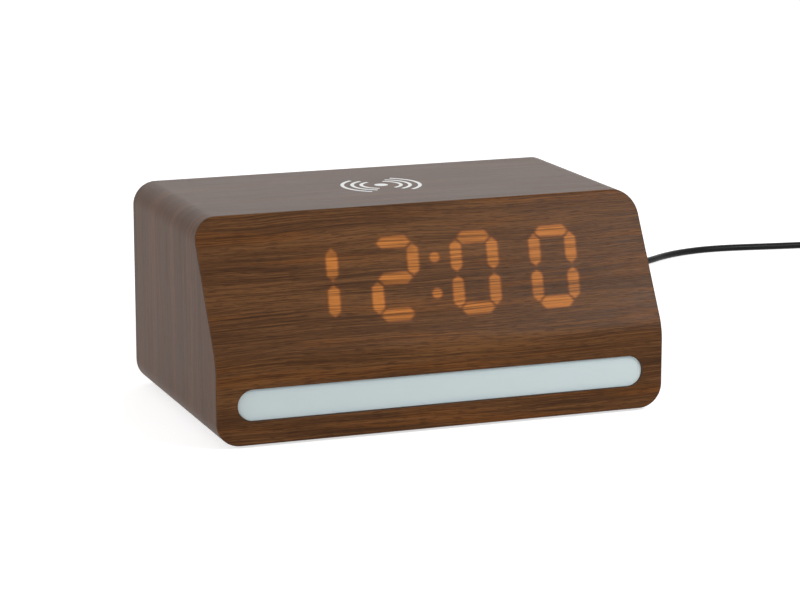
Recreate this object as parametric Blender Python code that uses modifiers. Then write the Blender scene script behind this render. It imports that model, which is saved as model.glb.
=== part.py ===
"""A digital alarm clock with a wood-grain case, a charging top and a light bar along its front foot.

The clock stands on the XY plane, centred on the origin, with its face towards -Y. Lengths are in metres.
Each object is one piece of the real clock, and pieces that touch keep a small gap between them.
"""

import math

import bmesh
import bpy
from mathutils import Matrix, Vector

# Fits that all pieces share
GAP = 0.0003
OVERRUN = 0.004
BITE = 0.0005
WELD = 0.000002
SHARP_ANGLE = math.radians(32)
FLAT_ANGLE = math.radians(0.5)
ROUND_SIDES = 24
ROUTE_STEPS = 16

# Case: a folded board tube, open at the front and back
CASE_WIDTH = 0.180
CASE_HEIGHT = 0.081
CASE_DEPTH = 0.111
CASE_WALL = 0.006
CORNER_RADIUS = 0.009
CREASE_HEIGHT = 0.031
TOP_SETBACK = 0.029
CREASE_RADIUS = 0.016
REBATE_WALL = 0.003
REBATE_DEPTH = 0.0048
BLOCK_SIDE = 0.0105
BLOCK_DEPTH = 0.014
PILOT_RADIUS = 0.0015
POCKET_MARGIN = 0.0008
CORNER_STEPS = 8
CREASE_STEPS = 6

# Feet: stick-on rubber discs in shallow seats
FOOT_RADIUS = 0.006
FOOT_STAND = 0.0012
FOOT_SEAT_DEPTH = 0.0010
FOOT_CHAMFER = 0.0005
FOOT_INSET_X = 0.020
FOOT_INSET_Y = 0.016

# Front panel: a thin bent board with the light slot and the lit windows
PANEL_THICKNESS = 0.003
SLOT_SIDE_MARGIN = 0.008
SLOT_HEIGHT = 0.0124
SLOT_RISE = 0.0149

# Seven-segment digits on the sloping face, seen as 12:00
DIGIT_PITCH = 0.0325
DISPLAY_SHIFT = 0.0016
DISPLAY_FOOT_MARGIN = 0.0117
DISPLAY_HEAD_MARGIN = 0.0127
SEGMENT_STROKE = 0.0048
SEGMENT_BREAK = 0.0017
SEGMENT_CORNER = 0.0014
COLUMN_OFFSET = 0.0075
COLON_RADIUS = 0.0023
DIGIT_SLANT = math.radians(6.2)
GUIDE_BASE = 0.0012
GUIDE_SIDE_MARGIN = 0.0013
GUIDE_END_MARGIN = 0.0028
GUIDE_CLEARANCE = 0.00045
REFLECTOR_SIDE_MARGIN = 0.0045
REFLECTOR_END_MARGIN = 0.0043
REFLECTOR_DEPTH = 0.007
WELL_BACK_SHARE = 0.62
BOARD_THICKNESS = 0.0016
LED_SIDE = 0.0018
LED_HEIGHT = 0.0008
LIT_SEGMENTS = ("bc", "abdeg", "abcdef", "abcdef")

# Light bar: milky lens, white trough and its row of lamps
LENS_RECESS = 0.0008
LENS_FLANGE = 0.0014
LENS_FLANGE_MARGIN = 0.0018
TROUGH_DEPTH = 0.012
TROUGH_WALL = 0.0012
LAMP_BOARD_THICKNESS = 0.0012
LAMP_BOARD_MARGIN = 0.0012
LAMP_SIDE = 0.0035
LAMP_HEIGHT = 0.0010
LAMP_COUNT = 10

# Charger under the top: flat winding, ferrite sheet, tray and board
WIRE_RADIUS = 0.00055
WINDING_INNER_RADIUS = 0.0105
WINDING_PITCH = 0.0016
WINDING_TURNS = 7
WINDING_TURN_POINTS = 20
FERRITE_SIDE = 0.050
FERRITE_CORNER = 0.006
FERRITE_THICKNESS = 0.0015
TRAY_SIDE = 0.053
TRAY_CORNER = 0.007
TRAY_RIM = 0.0012
TRAY_RIM_HEIGHT = 0.0012
TRAY_THICKNESS = 0.0020
TRAY_EAR_REACH = 0.036
TRAY_EAR_WIDTH = 0.010
TRAY_EAR_HOLE = 0.0315
TRAY_POST_RADIUS = 0.0022
TRAY_POST_HEIGHT = 0.004
TRAY_POST_INSET = 0.006
CHARGER_BOARD_LENGTH = 0.048
CHARGER_BOARD_WIDTH = 0.040
CHOKE_SIDE = 0.007
CHOKE_HEIGHT = 0.004
CHOKE_CORNER = 0.001

# Rear cover: an inset moulding with button holes, socket hole, sound holes and battery cup
COVER_THICKNESS = 0.0025
COVER_INSET = 0.0020
COVER_SCREW_INSET = 0.0085
COVER_SCREW_HOLE = 0.0016
BUTTON_COUNT = 5
BUTTON_END_MARGIN = 0.022
BUTTON_HEAD_MARGIN = 0.004
BUTTON_RADIUS = 0.0038
BUTTON_PROUD = 0.0009
BUTTON_DOME = 0.0005
BUTTON_FLANGE_RADIUS = 0.0050
BUTTON_FLANGE = 0.0010
BUTTON_STEM_RADIUS = 0.0015
BUTTON_TRAVEL = 0.0008
BUTTON_SIDES = 18
SWITCH_SIDE = 0.006
SWITCH_HEIGHT = 0.0038
SWITCH_WELL_DEPTH = 0.0022
BOARD_STANDOFF = 0.0094
BOARD_POST_RADIUS = 0.0025
CONTROL_SIDE_MARGIN = 0.0115
CONTROL_FOOT_MARGIN = 0.0053
CONTROL_HEAD_MARGIN = 0.0020
CONTROL_POST_INSET = 0.0045
SOUND_HOLE_RADIUS = 0.0012
SOUND_RING_RADIUS = 0.0045
SOUND_RING_COUNT = 6
SOUND_RISE = 0.027
BUZZER_RADIUS = 0.006
BUZZER_HEIGHT = 0.0085
BUZZER_HOLE_RADIUS = 0.0015
BUZZER_HOLE_DEPTH = 0.0010
CHIP_SIDE = 0.010
CHIP_HEIGHT = 0.0016
CAPACITOR_RADIUS = 0.003
CAPACITOR_HEIGHT = 0.007
CONNECTOR_SIDE = 0.006
CONNECTOR_HEIGHT = 0.0035

# Battery compartment: a twist cover over a coin cell
BATTERY_END_MARGIN = 0.022
BATTERY_FOOT_MARGIN = 0.001
DOOR_RADIUS = 0.0124
DOOR_THICKNESS = 0.0013
DOOR_SKIRT_RADIUS = 0.0108
DOOR_SKIRT_WALL = 0.0014
DOOR_SKIRT_DEPTH = 0.0025
DOOR_LUG_REACH = 0.0015
DOOR_LUG_WIDTH = 0.0046
DOOR_LUG_THICKNESS = 0.0009
DOOR_COIN_SLOT = 0.0130
DOOR_COIN_SLOT_WIDTH = 0.0018
DOOR_COIN_SLOT_DEPTH = 0.0007
DOOR_TURN = math.radians(30)
CUP_WALL = 0.0015
CUP_LEDGE = 0.0010
CUP_FLOOR = 0.0015
CELL_RADIUS = 0.010
CELL_THICKNESS = 0.0032
CELL_STEP = 0.0009
CONTACT_THICKNESS = 0.0003
CONTACT_WIDTH = 0.005
CONTACT_LENGTH = 0.018

# Power: socket on the control board, plug with its strain relief
SOCKET_END_MARGIN = 0.017
SOCKET_RISE = 0.022
SOCKET_WIDTH = 0.009
SOCKET_HEIGHT = 0.011
SOCKET_INSET = 0.0007
SOCKET_BORE_RADIUS = 0.0032
SOCKET_BORE_DEPTH = 0.0096
SOCKET_PIN_RADIUS = 0.0009
BARREL_RADIUS = 0.00275
BARREL_BORE_RADIUS = 0.00130
BARREL_LENGTH = 0.0115
BARREL_HOLD = 0.0030
GRIP_RADIUS = 0.0046
GRIP_LENGTH = 0.0130
GRIP_CHAMFER = 0.0006
RELIEF_LENGTH = 0.0220
RELIEF_START_RADIUS = 0.0034
RELIEF_END_RADIUS = 0.0022
RELIEF_RIBS = 5
RELIEF_RIB_HEIGHT = 0.0005
PLUG_SIDES = 16

# Screws
SCREW_HEAD_RADIUS = 0.0027
SCREW_HEAD_HEIGHT = 0.0015
SCREW_CROWN = 0.0004
SCREW_RADIUS = 0.0012
SCREW_LENGTH = 0.0100
TRAY_SCREW_LENGTH = 0.0050
SCREW_RECESS_WIDTH = 0.0007
SCREW_RECESS_LENGTH = 0.0030
SCREW_RECESS_DEPTH = 0.0008
SCREW_SIDES = 14

# Power cord: leaves the plug, drops to the table and swings out to the right
CORD_RADIUS = 0.0016
CORD_POINT_SPACING = 0.0080
CORD_ROUTE = (
    (0.0450, 0.0890, 0.0220),
    (0.0450, 0.0960, 0.0220),
    (0.0456, 0.1050, 0.0206),
    (0.0475, 0.1160, 0.0160),
    (0.0512, 0.1280, 0.0094),
    (0.0570, 0.1400, 0.0040),
    (0.0650, 0.1510, 0.0018),
    (0.0765, 0.1618, 0.0016),
    (0.0920, 0.1713, 0.0016),
    (0.1120, 0.1785, 0.0016),
    (0.1340, 0.1827, 0.0016),
    (0.1560, 0.1852, 0.0016),
    (0.1760, 0.1886, 0.0016),
    (0.1920, 0.1942, 0.0016),
    (0.2052, 0.2013, 0.0016),
    (0.2165, 0.2085, 0.0016),
    (0.2279, 0.2135, 0.0016),
    (0.2400, 0.2161, 0.0016),
    (0.2510, 0.2163, 0.0016),
    (0.2620, 0.2150, 0.0016),
    (0.2760, 0.2124, 0.0016),
    (0.2919, 0.2098, 0.0016),
    (0.3040, 0.2084, 0.0016),
    (0.3110, 0.2080, 0.0016),
    (0.3145, 0.2080, 0.0016),
)

# The rest of the cord, wound up beside the clock
COIL_CENTRE_X = 0.3180
COIL_OUTER_RADIUS = 0.0257
COIL_PITCH = 0.0037
COIL_TURNS_IN = 3.5
COIL_TURNS_OUT = 3.75
COIL_CLIMB_TURNS = 0.5
COIL_TURN_POINTS = 24
COIL_TAIL = 0.020
COIL_TAIL_POINTS = 4

# Plug at the far end of the cord, lying beside the coil
USB_GRIP_LENGTH = 0.024
USB_GRIP_WIDTH = 0.0155
USB_GRIP_THICKNESS = 0.0078
USB_GRIP_CORNER = 0.0020
USB_SHELL_WIDTH = 0.0120
USB_SHELL_HEIGHT = 0.0045
USB_SHELL_WALL = 0.0004
USB_SHELL_REACH = 0.0120
USB_SHELL_HOLD = 0.0030
USB_TONGUE_WIDTH = 0.0105
USB_TONGUE_THICKNESS = 0.0014

# Leads between the boards
LEAD_RADIUS = 0.0011
LEAD_POINT_SPACING = 0.0045
LEAD_SAG = 0.006

# Places that follow from the sizes above
FRONT_Y = -CASE_DEPTH / 2
BACK_Y = CASE_DEPTH / 2
FLOOR_Z = FOOT_STAND
ROOF_Z = FLOOR_Z + CASE_HEIGHT
MIDDLE_Z = FLOOR_Z + CASE_HEIGHT / 2
CREASE_Z = FLOOR_Z + CREASE_HEIGHT
SLOPE = math.atan2(TOP_SETBACK, CASE_HEIGHT - CREASE_HEIGHT)
INNER_WIDTH = CASE_WIDTH - 2 * CASE_WALL
INNER_HEIGHT = CASE_HEIGHT - 2 * CASE_WALL
INNER_RADIUS = CORNER_RADIUS - CASE_WALL
CEILING_Z = ROOF_Z - CASE_WALL
SLOT_Z = FLOOR_Z + SLOT_RISE
SLOT_LENGTH = CASE_WIDTH - 2 * SLOT_SIDE_MARGIN
FACE_LENGTH = math.hypot(CASE_HEIGHT - CREASE_HEIGHT, TOP_SETBACK)
DIGIT_HEIGHT = FACE_LENGTH - DISPLAY_FOOT_MARGIN - DISPLAY_HEAD_MARGIN
DISPLAY_RISE = DISPLAY_FOOT_MARGIN + DIGIT_HEIGHT / 2
ROW_OFFSET = (DIGIT_HEIGHT - SEGMENT_STROKE) / 2
COLON_OFFSET = ROW_OFFSET / 2
SEGMENT_TALL = ROW_OFFSET - SEGMENT_BREAK
SEGMENT_WIDE = 2 * COLUMN_OFFSET - SEGMENT_CORNER
DIGIT_LEAN = DIGIT_HEIGHT * math.tan(DIGIT_SLANT)
GUIDE_WIDTH = 2 * COLUMN_OFFSET + SEGMENT_STROKE + DIGIT_LEAN + 2 * GUIDE_SIDE_MARGIN
GUIDE_HEIGHT = DIGIT_HEIGHT + 2 * GUIDE_END_MARGIN
COLON_GUIDE_WIDTH = DIGIT_PITCH - GUIDE_WIDTH - 2 * GUIDE_CLEARANCE
REFLECTOR_WIDTH = (len(LIT_SEGMENTS) - 1) * DIGIT_PITCH + GUIDE_WIDTH + 2 * REFLECTOR_SIDE_MARGIN
REFLECTOR_HEIGHT = DIGIT_HEIGHT + 2 * REFLECTOR_END_MARGIN
REBATE_Y = BACK_Y - REBATE_DEPTH
COVER_OUT_Y = BACK_Y - COVER_INSET
COVER_IN_Y = COVER_OUT_Y - COVER_THICKNESS
CHARGE_Y = (FRONT_Y + TOP_SETBACK + BACK_Y) / 2
BOARD_REAR_Y = COVER_IN_Y - BOARD_STANDOFF
BOARD_FRONT_Y = BOARD_REAR_Y - BOARD_THICKNESS
GUIDE_TOP = -(PANEL_THICKNESS + GAP)
GUIDE_BOTTOM = GUIDE_TOP - GUIDE_BASE
REFLECTOR_TOP = GUIDE_BOTTOM - GAP
REFLECTOR_BOTTOM = REFLECTOR_TOP - REFLECTOR_DEPTH
DISPLAY_BOARD_TOP = REFLECTOR_BOTTOM - GAP
DISPLAY_BOARD_BOTTOM = DISPLAY_BOARD_TOP - BOARD_THICKNESS
FLANGE_FRONT_Y = FRONT_Y + PANEL_THICKNESS + GAP
FLANGE_BACK_Y = FLANGE_FRONT_Y + LENS_FLANGE
TROUGH_FRONT_Y = FLANGE_BACK_Y + GAP
TROUGH_BACK_Y = TROUGH_FRONT_Y + TROUGH_DEPTH
FERRITE_BOTTOM_Z = CEILING_Z
FERRITE_TOP_Z = FERRITE_BOTTOM_Z + FERRITE_THICKNESS
WINDING_Z = FERRITE_TOP_Z + GAP + WIRE_RADIUS
POCKET_TOP_Z = WINDING_Z + WIRE_RADIUS + GAP
TRAY_TOP_Z = FERRITE_BOTTOM_Z - GAP
TRAY_BOTTOM_Z = TRAY_TOP_Z - TRAY_THICKNESS
TRAY_SCREW_SEAT_Z = TRAY_BOTTOM_Z + BITE - GAP
CHARGER_BOARD_TOP_Z = TRAY_BOTTOM_Z - TRAY_POST_HEIGHT - GAP
CHARGER_BOARD_BOTTOM_Z = CHARGER_BOARD_TOP_Z - BOARD_THICKNESS
CONTROL_BOARD_WIDTH = INNER_WIDTH - 2 * (BLOCK_SIDE + CONTROL_SIDE_MARGIN)
CONTROL_BOTTOM_Z = FLOOR_Z + CASE_WALL + CONTROL_FOOT_MARGIN
CONTROL_TOP_Z = CHARGER_BOARD_BOTTOM_Z - CHOKE_HEIGHT - CONTROL_HEAD_MARGIN
CONTROL_BOARD_HEIGHT = CONTROL_TOP_Z - CONTROL_BOTTOM_Z
CONTROL_BOARD_RISE = (CONTROL_TOP_Z + CONTROL_BOTTOM_Z) / 2
BUTTON_RISE = CONTROL_TOP_Z - BUTTON_HEAD_MARGIN
BUTTON_SPACING = (CONTROL_BOARD_WIDTH - 2 * BUTTON_END_MARGIN) / (BUTTON_COUNT - 1)
CUP_RADIUS = DOOR_RADIUS + GAP
BATTERY_X = BATTERY_END_MARGIN - CONTROL_BOARD_WIDTH / 2
BATTERY_RISE = FLOOR_Z + CASE_WALL + CUP_RADIUS + CUP_WALL + BATTERY_FOOT_MARGIN
LEDGE_TOP_Y = COVER_OUT_Y - DOOR_THICKNESS - GAP
LEDGE_BOTTOM_Y = LEDGE_TOP_Y - CUP_LEDGE
SKIRT_BOTTOM_Y = COVER_OUT_Y - DOOR_THICKNESS - DOOR_SKIRT_DEPTH
CELL_TOP_Y = SKIRT_BOTTOM_Y - GAP
CELL_BOTTOM_Y = CELL_TOP_Y - CELL_THICKNESS
CUP_FLOOR_Y = CELL_BOTTOM_Y - CONTACT_THICKNESS - 2 * GAP
SOCKET_X = CONTROL_BOARD_WIDTH / 2 - SOCKET_END_MARGIN
SOCKET_FACE_Y = COVER_OUT_Y - SOCKET_INSET
PLUG_FACE_Y = SOCKET_FACE_Y + GAP
RELIEF_END_Y = PLUG_FACE_Y + GRIP_LENGTH + RELIEF_LENGTH
COIL_INNER_RADIUS = COIL_OUTER_RADIUS - COIL_TURNS_IN * COIL_PITCH
USB_AXIS_Z = USB_GRIP_THICKNESS / 2

# Frames for flat outlines: local Z is the direction of their thickness
FLOOR = Matrix.Identity(4)
WALL = Matrix(((1, 0, 0, 0), (0, 0, -1, 0), (0, 1, 0, 0), (0, 0, 0, 1)))
SIDE = Matrix(((0, 0, 1, 0), (1, 0, 0, 0), (0, 1, 0, 0), (0, 0, 0, 1)))
FACE = Matrix.Translation((0, FRONT_Y, CREASE_Z)) @ Matrix.Rotation(math.pi / 2 - SLOPE, 4, "X")
AXIS_BACK = Matrix.Rotation(-math.pi / 2, 4, "X")


def clear_scene():
    """Removes whatever the file opens with."""
    for old in list(bpy.data.objects):
        bpy.data.objects.remove(old, do_unlink=True)


def new_collection(name):
    """A collection in the scene, for parts or for helpers."""
    made = bpy.data.collections.new(name)
    bpy.context.scene.collection.children.link(made)
    return made


clear_scene()
PARTS = new_collection("digital_alarm_clock")
CUTTERS = new_collection("cutters")


def finish(name, colour, roughness, metallic=0.0, glow=0.0):
    """A Principled material, with glow for the pieces that are lit from behind."""
    made = bpy.data.materials.new(name)
    made.use_nodes = True
    shader = made.node_tree.nodes["Principled BSDF"]
    shader.inputs["Base Color"].default_value = (*colour, 1)
    shader.inputs["Roughness"].default_value = roughness
    shader.inputs["Metallic"].default_value = metallic
    shader.inputs["Emission Color"].default_value = (*colour, 1)
    shader.inputs["Emission Strength"].default_value = glow
    made.diffuse_color = (*colour, 1)
    return made


WALNUT = finish("walnut_wrap", (0.115, 0.062, 0.036), 0.55)
AMBER = finish("lit_amber_acrylic", (0.80, 0.30, 0.07), 0.50, glow=0.6)
MILKY = finish("milky_acrylic", (0.66, 0.73, 0.74), 0.30)
WHITE_PLASTIC = finish("white_plastic", (0.80, 0.80, 0.78), 0.50)
BLACK_PLASTIC = finish("black_plastic", (0.020, 0.020, 0.021), 0.50)
BLACK_VINYL = finish("black_vinyl", (0.012, 0.012, 0.013), 0.45)
BLACK_RUBBER = finish("black_rubber", (0.025, 0.025, 0.025), 0.85)
GREEN_BOARD = finish("circuit_board", (0.015, 0.110, 0.040), 0.45)
COPPER = finish("enamelled_copper", (0.60, 0.22, 0.08), 0.35, metallic=1.0)
FERRITE = finish("ferrite", (0.050, 0.050, 0.055), 0.70)
STEEL = finish("nickel_steel", (0.55, 0.55, 0.53), 0.30, metallic=1.0)


def place(made, look):
    """Puts an object among the parts with its material or, with no material, among the cutters."""
    if look is None:
        CUTTERS.objects.link(made)
        made.hide_render = True
        made.display_type = "WIRE"
    else:
        PARTS.objects.link(made)
        made.data.materials.append(look)
    return made


def from_bmesh(name, shape, look, frame=FLOOR):
    """An object from a filled-in bmesh, which this frees."""
    mesh = bpy.data.meshes.new(name)
    shape.to_mesh(mesh)
    shape.free()
    made = bpy.data.objects.new(name, mesh)
    made.matrix_world = frame
    return place(made, look)


def block(name, low, high, look=None, frame=FLOOR):
    """A box between two corners."""
    low, high = Vector(low), Vector(high)
    shape = bmesh.new()
    bmesh.ops.create_cube(shape, size=1)
    bmesh.ops.scale(shape, verts=shape.verts, vec=high - low)
    bmesh.ops.translate(shape, verts=shape.verts, vec=(low + high) / 2)
    return from_bmesh(name, shape, look, frame)


def rod(name, start, end, radius, look=None, sides=ROUND_SIDES, frame=FLOOR):
    """A cylinder from one point to another."""
    start, end = Vector(start), Vector(end)
    along = end - start
    turn = along.to_track_quat("Z", "Y").to_matrix().to_4x4()
    shape = bmesh.new()
    bmesh.ops.create_cone(
        shape, cap_ends=True, segments=sides, radius1=radius, radius2=radius, depth=along.length
    )
    bmesh.ops.transform(shape, matrix=Matrix.Translation((start + end) / 2) @ turn, verts=shape.verts)
    return from_bmesh(name, shape, look, frame)


def slab(name, outlines, low, high, frame, look=None):
    """A flat piece from closed outlines, those inside others being holes, between two heights of its frame."""
    curve = bpy.data.curves.new(name, "CURVE")
    curve.dimensions = "2D"
    curve.fill_mode = "BOTH"
    curve.extrude = (high - low) / 2
    for outline in outlines:
        spline = curve.splines.new("POLY")
        spline.points.add(len(outline) - 1)
        for point, (across, up) in zip(spline.points, outline):
            point.co = (across, up, 0, 1)
        spline.use_cyclic_u = True
    drawn = bpy.data.objects.new(name + "_outline", curve)
    bpy.context.scene.collection.objects.link(drawn)
    drawn.matrix_world = frame @ Matrix.Translation((0, 0, (low + high) / 2))
    graph = bpy.context.evaluated_depsgraph_get()
    mesh = bpy.data.meshes.new_from_object(drawn.evaluated_get(graph))
    shape = bmesh.new()
    shape.from_mesh(mesh)
    bmesh.ops.remove_doubles(shape, verts=shape.verts, dist=WELD)
    bmesh.ops.dissolve_limit(shape, angle_limit=FLAT_ANGLE, verts=shape.verts, edges=shape.edges)
    bmesh.ops.recalc_face_normals(shape, faces=shape.faces)
    shape.to_mesh(mesh)
    shape.free()
    mesh.name = name
    made = bpy.data.objects.new(name, mesh)
    made.matrix_world = drawn.matrix_world.copy()
    bpy.data.objects.remove(drawn, do_unlink=True)
    return place(made, look)


def wall_slab(name, outlines, front_y, back_y, look=None):
    """A flat piece that stands across the clock, drawn in X and Z."""
    return slab(name, outlines, -back_y, -front_y, WALL, look)


def turned(name, profile, frame, look=None, sides=ROUND_SIDES, closed=False):
    """A turned piece about its frame's Z: the profile of radius and height runs down its outer side."""
    shape = bmesh.new()
    points = [shape.verts.new((radius, 0, height)) for radius, height in profile]
    for first, second in zip(points, points[1:]):
        shape.edges.new((first, second))
    if closed:
        shape.edges.new((points[-1], points[0]))
    made = from_bmesh(name, shape, look, frame)
    spin = made.modifiers.new("spin", "SCREW")
    spin.angle = math.tau
    spin.steps = sides
    spin.render_steps = sides
    spin.use_merge_vertices = True
    spin.merge_threshold = WELD
    return made


def lofts(name, pairs, low, high, frame):
    """A cutter of tapered holes: each pair is an outline at the low height and one at the high height."""
    shape = bmesh.new()
    for lower, upper in pairs:
        below = [shape.verts.new((across, up, low)) for across, up in lower]
        above = [shape.verts.new((across, up, high)) for across, up in upper]
        shape.faces.new(list(reversed(below)))
        shape.faces.new(above)
        for index in range(len(below)):
            after = (index + 1) % len(below)
            shape.faces.new((below[index], below[after], above[after], above[index]))
    bmesh.ops.recalc_face_normals(shape, faces=shape.faces)
    return from_bmesh(name, shape, None, frame)


def tube(name, points, radius, resolution, look):
    """A round wire or cord along its points."""
    curve = bpy.data.curves.new(name, "CURVE")
    curve.dimensions = "3D"
    curve.bevel_depth = radius
    curve.bevel_resolution = resolution
    curve.use_fill_caps = True
    spline = curve.splines.new("POLY")
    spline.points.add(len(points) - 1)
    for point, where in zip(spline.points, points):
        point.co = (*where, 1)
    return place(bpy.data.objects.new(name, curve), look)


def change(target, operation, tools):
    """Cuts, joins or trims a piece with others, in order."""
    for tool in tools:
        step = target.modifiers.new(f"{operation.lower()}_{tool.name}", "BOOLEAN")
        step.operation = operation
        step.solver = "EXACT"
        step.object = tool
    return target


def cut(target, *tools):
    """Takes the tools' shapes out of a piece."""
    return change(target, "DIFFERENCE", tools)


def fuse(target, *tools):
    """Adds the tools' shapes to a piece."""
    return change(target, "UNION", tools)


def trim(target, *tools):
    """Keeps only what lies inside the tools' shapes."""
    return change(target, "INTERSECT", tools)


def arc(centre, radius, start, end, steps):
    """Points along an arc, both ends included."""
    turns = [start + (end - start) * index / steps for index in range(steps + 1)]
    return [(centre[0] + radius * math.cos(a), centre[1] + radius * math.sin(a)) for a in turns]


def circle(centre, radius, sides=ROUND_SIDES):
    """A closed round outline."""
    return arc(centre, radius, 0, math.tau * (sides - 1) / sides, sides - 1)


def rounded(centre, width, height, radius, steps=CORNER_STEPS):
    """A closed rectangle outline with round corners."""
    half_x, half_y = width / 2 - radius, height / 2 - radius
    outline = []
    for quarter, (side_x, side_y) in enumerate(((1, 1), (-1, 1), (-1, -1), (1, -1))):
        corner = (centre[0] + side_x * half_x, centre[1] + side_y * half_y)
        start = quarter * math.pi / 2
        outline += arc(corner, radius, start, start + math.pi / 2, steps)
    return outline


def rectangle(centre, width, height):
    """A closed rectangle outline."""
    left, right = centre[0] - width / 2, centre[0] + width / 2
    bottom, top = centre[1] - height / 2, centre[1] + height / 2
    return [(left, bottom), (right, bottom), (right, top), (left, top)]


def pill(centre, length, height, steps=CORNER_STEPS):
    """A closed outline with straight long sides and half-round ends."""
    reach = length / 2 - height / 2
    right, left = (centre[0] + reach, centre[1]), (centre[0] - reach, centre[1])
    turn = math.pi / 2
    return arc(right, height / 2, -turn, turn, 2 * steps) + arc(left, height / 2, turn, 3 * turn, 2 * steps)


def front_line(inset):
    """The clock's front in Y and Z, from below its foot to above its roof, set in by a wall."""
    radius = CREASE_RADIUS - inset
    rise = CREASE_Z - CREASE_RADIUS * math.tan(SLOPE / 2)
    bend = arc((FRONT_Y + CREASE_RADIUS, rise), radius, math.pi, math.pi - SLOPE, CREASE_STEPS)
    bend_y, bend_z = bend[-1]
    over = ROOF_Z + OVERRUN - bend_z
    foot = (FRONT_Y + inset, FLOOR_Z - OVERRUN)
    return [foot, *bend, (bend_y + over * math.tan(SLOPE), ROOF_Z + OVERRUN)]


def case_outline(inset):
    """The case's rounded outline in X and Z, set in by a wall."""
    width, height = CASE_WIDTH - 2 * inset, CASE_HEIGHT - 2 * inset
    return rounded((0, MIDDLE_Z), width, height, CORNER_RADIUS - inset)


def cover_screw_places():
    """Where the four rear screws stand, in X and Z."""
    reach_x = CASE_WIDTH / 2 - COVER_SCREW_INSET
    reach_z = CASE_HEIGHT / 2 - COVER_SCREW_INSET
    return [(x * reach_x, MIDDLE_Z + z * reach_z) for x in (-1, 1) for z in (-1, 1)]


def foot_places():
    """Where the four feet stand, in X and Y."""
    reach_x = CASE_WIDTH / 2 - FOOT_INSET_X
    reach_y = CASE_DEPTH / 2 - FOOT_INSET_Y
    return [(x * reach_x, y * reach_y) for x in (-1, 1) for y in (-1, 1)]


def tray_screw_places():
    """Where the two charger tray screws stand, in X and Y."""
    return [(side * TRAY_EAR_HOLE, CHARGE_Y) for side in (-1, 1)]


def button_places():
    """Where the rear buttons stand, in X and Z."""
    first = -BUTTON_SPACING * (BUTTON_COUNT - 1) / 2
    return [(first + index * BUTTON_SPACING, BUTTON_RISE) for index in range(BUTTON_COUNT)]


def sound_places():
    """The middle sound hole and the ring around it, in X and Z."""
    around = circle((0, SOUND_RISE), SOUND_RING_RADIUS, SOUND_RING_COUNT)
    return [(0, SOUND_RISE), *around]


def board_post_places():
    """Where the rear cover's posts meet the control board, in X and Z."""
    reach_x = CONTROL_BOARD_WIDTH / 2 - CONTROL_POST_INSET
    reach_z = CONTROL_BOARD_HEIGHT / 2 - CONTROL_POST_INSET
    return [(x * reach_x, CONTROL_BOARD_RISE + z * reach_z) for x in (-1, 1) for z in (-1, 1)]


def make_case_shell():
    """The wrapped board tube with its screw blocks, rebate, charger pocket and foot seats."""
    inner = rounded((0, MIDDLE_Z), INNER_WIDTH, INNER_HEIGHT, INNER_RADIUS, CORNER_STEPS // 2)
    shell = wall_slab("case_shell", [case_outline(0), inner], FRONT_Y, BACK_Y, WALNUT)
    half_x, half_z = INNER_WIDTH / 2, INNER_HEIGHT / 2
    for index, (side_x, side_z) in enumerate(((-1, -1), (-1, 1), (1, -1), (1, 1))):
        xs = sorted((side_x * (half_x - BLOCK_SIDE), side_x * (half_x + BITE)))
        zs = sorted((side_z * (half_z - BLOCK_SIDE), side_z * (half_z + BITE)))
        low = (xs[0], REBATE_Y - BLOCK_DEPTH, MIDDLE_Z + zs[0])
        high = (xs[1], REBATE_Y + BITE, MIDDLE_Z + zs[1])
        fuse(shell, block(f"corner_block_{index + 1}", low, high))
    behind = [(BACK_Y + OVERRUN, ROOF_Z + OVERRUN), (BACK_Y + OVERRUN, FLOOR_Z - OVERRUN)]
    reach = CASE_WIDTH / 2 + OVERRUN
    side = front_line(PANEL_THICKNESS + GAP) + behind
    trim(shell, slab("case_side_outline", [side], -reach, reach, SIDE))
    cut(shell, wall_slab("rear_rebate", [case_outline(REBATE_WALL)], REBATE_Y, BACK_Y + OVERRUN))
    for index, (x, z) in enumerate(cover_screw_places()):
        start, end = (x, REBATE_Y - SCREW_LENGTH, z), (x, REBATE_Y + OVERRUN, z)
        cut(shell, rod(f"rear_pilot_{index + 1}", start, end, PILOT_RADIUS, sides=SCREW_SIDES))
    ceiling, side = CEILING_Z - OVERRUN, TRAY_SIDE + 2 * POCKET_MARGIN
    pocket = rounded((0, CHARGE_Y), side, side, TRAY_CORNER + POCKET_MARGIN, CORNER_STEPS // 2)
    cut(shell, slab("charger_pocket", [pocket], ceiling, POCKET_TOP_Z, FLOOR))
    for index, (x, y) in enumerate(tray_screw_places()):
        start, end = (x, y, ceiling), (x, y, TRAY_SCREW_SEAT_Z + TRAY_SCREW_LENGTH + GAP)
        cut(shell, rod(f"tray_pilot_{index + 1}", start, end, PILOT_RADIUS, sides=SCREW_SIDES))
    for index, (x, y) in enumerate(foot_places()):
        start, end = (x, y, FLOOR_Z - OVERRUN), (x, y, FLOOR_Z + FOOT_SEAT_DEPTH + GAP)
        cut(shell, rod(f"foot_seat_{index + 1}", start, end, FOOT_RADIUS + GAP, sides=BUTTON_SIDES))
    return shell


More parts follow.
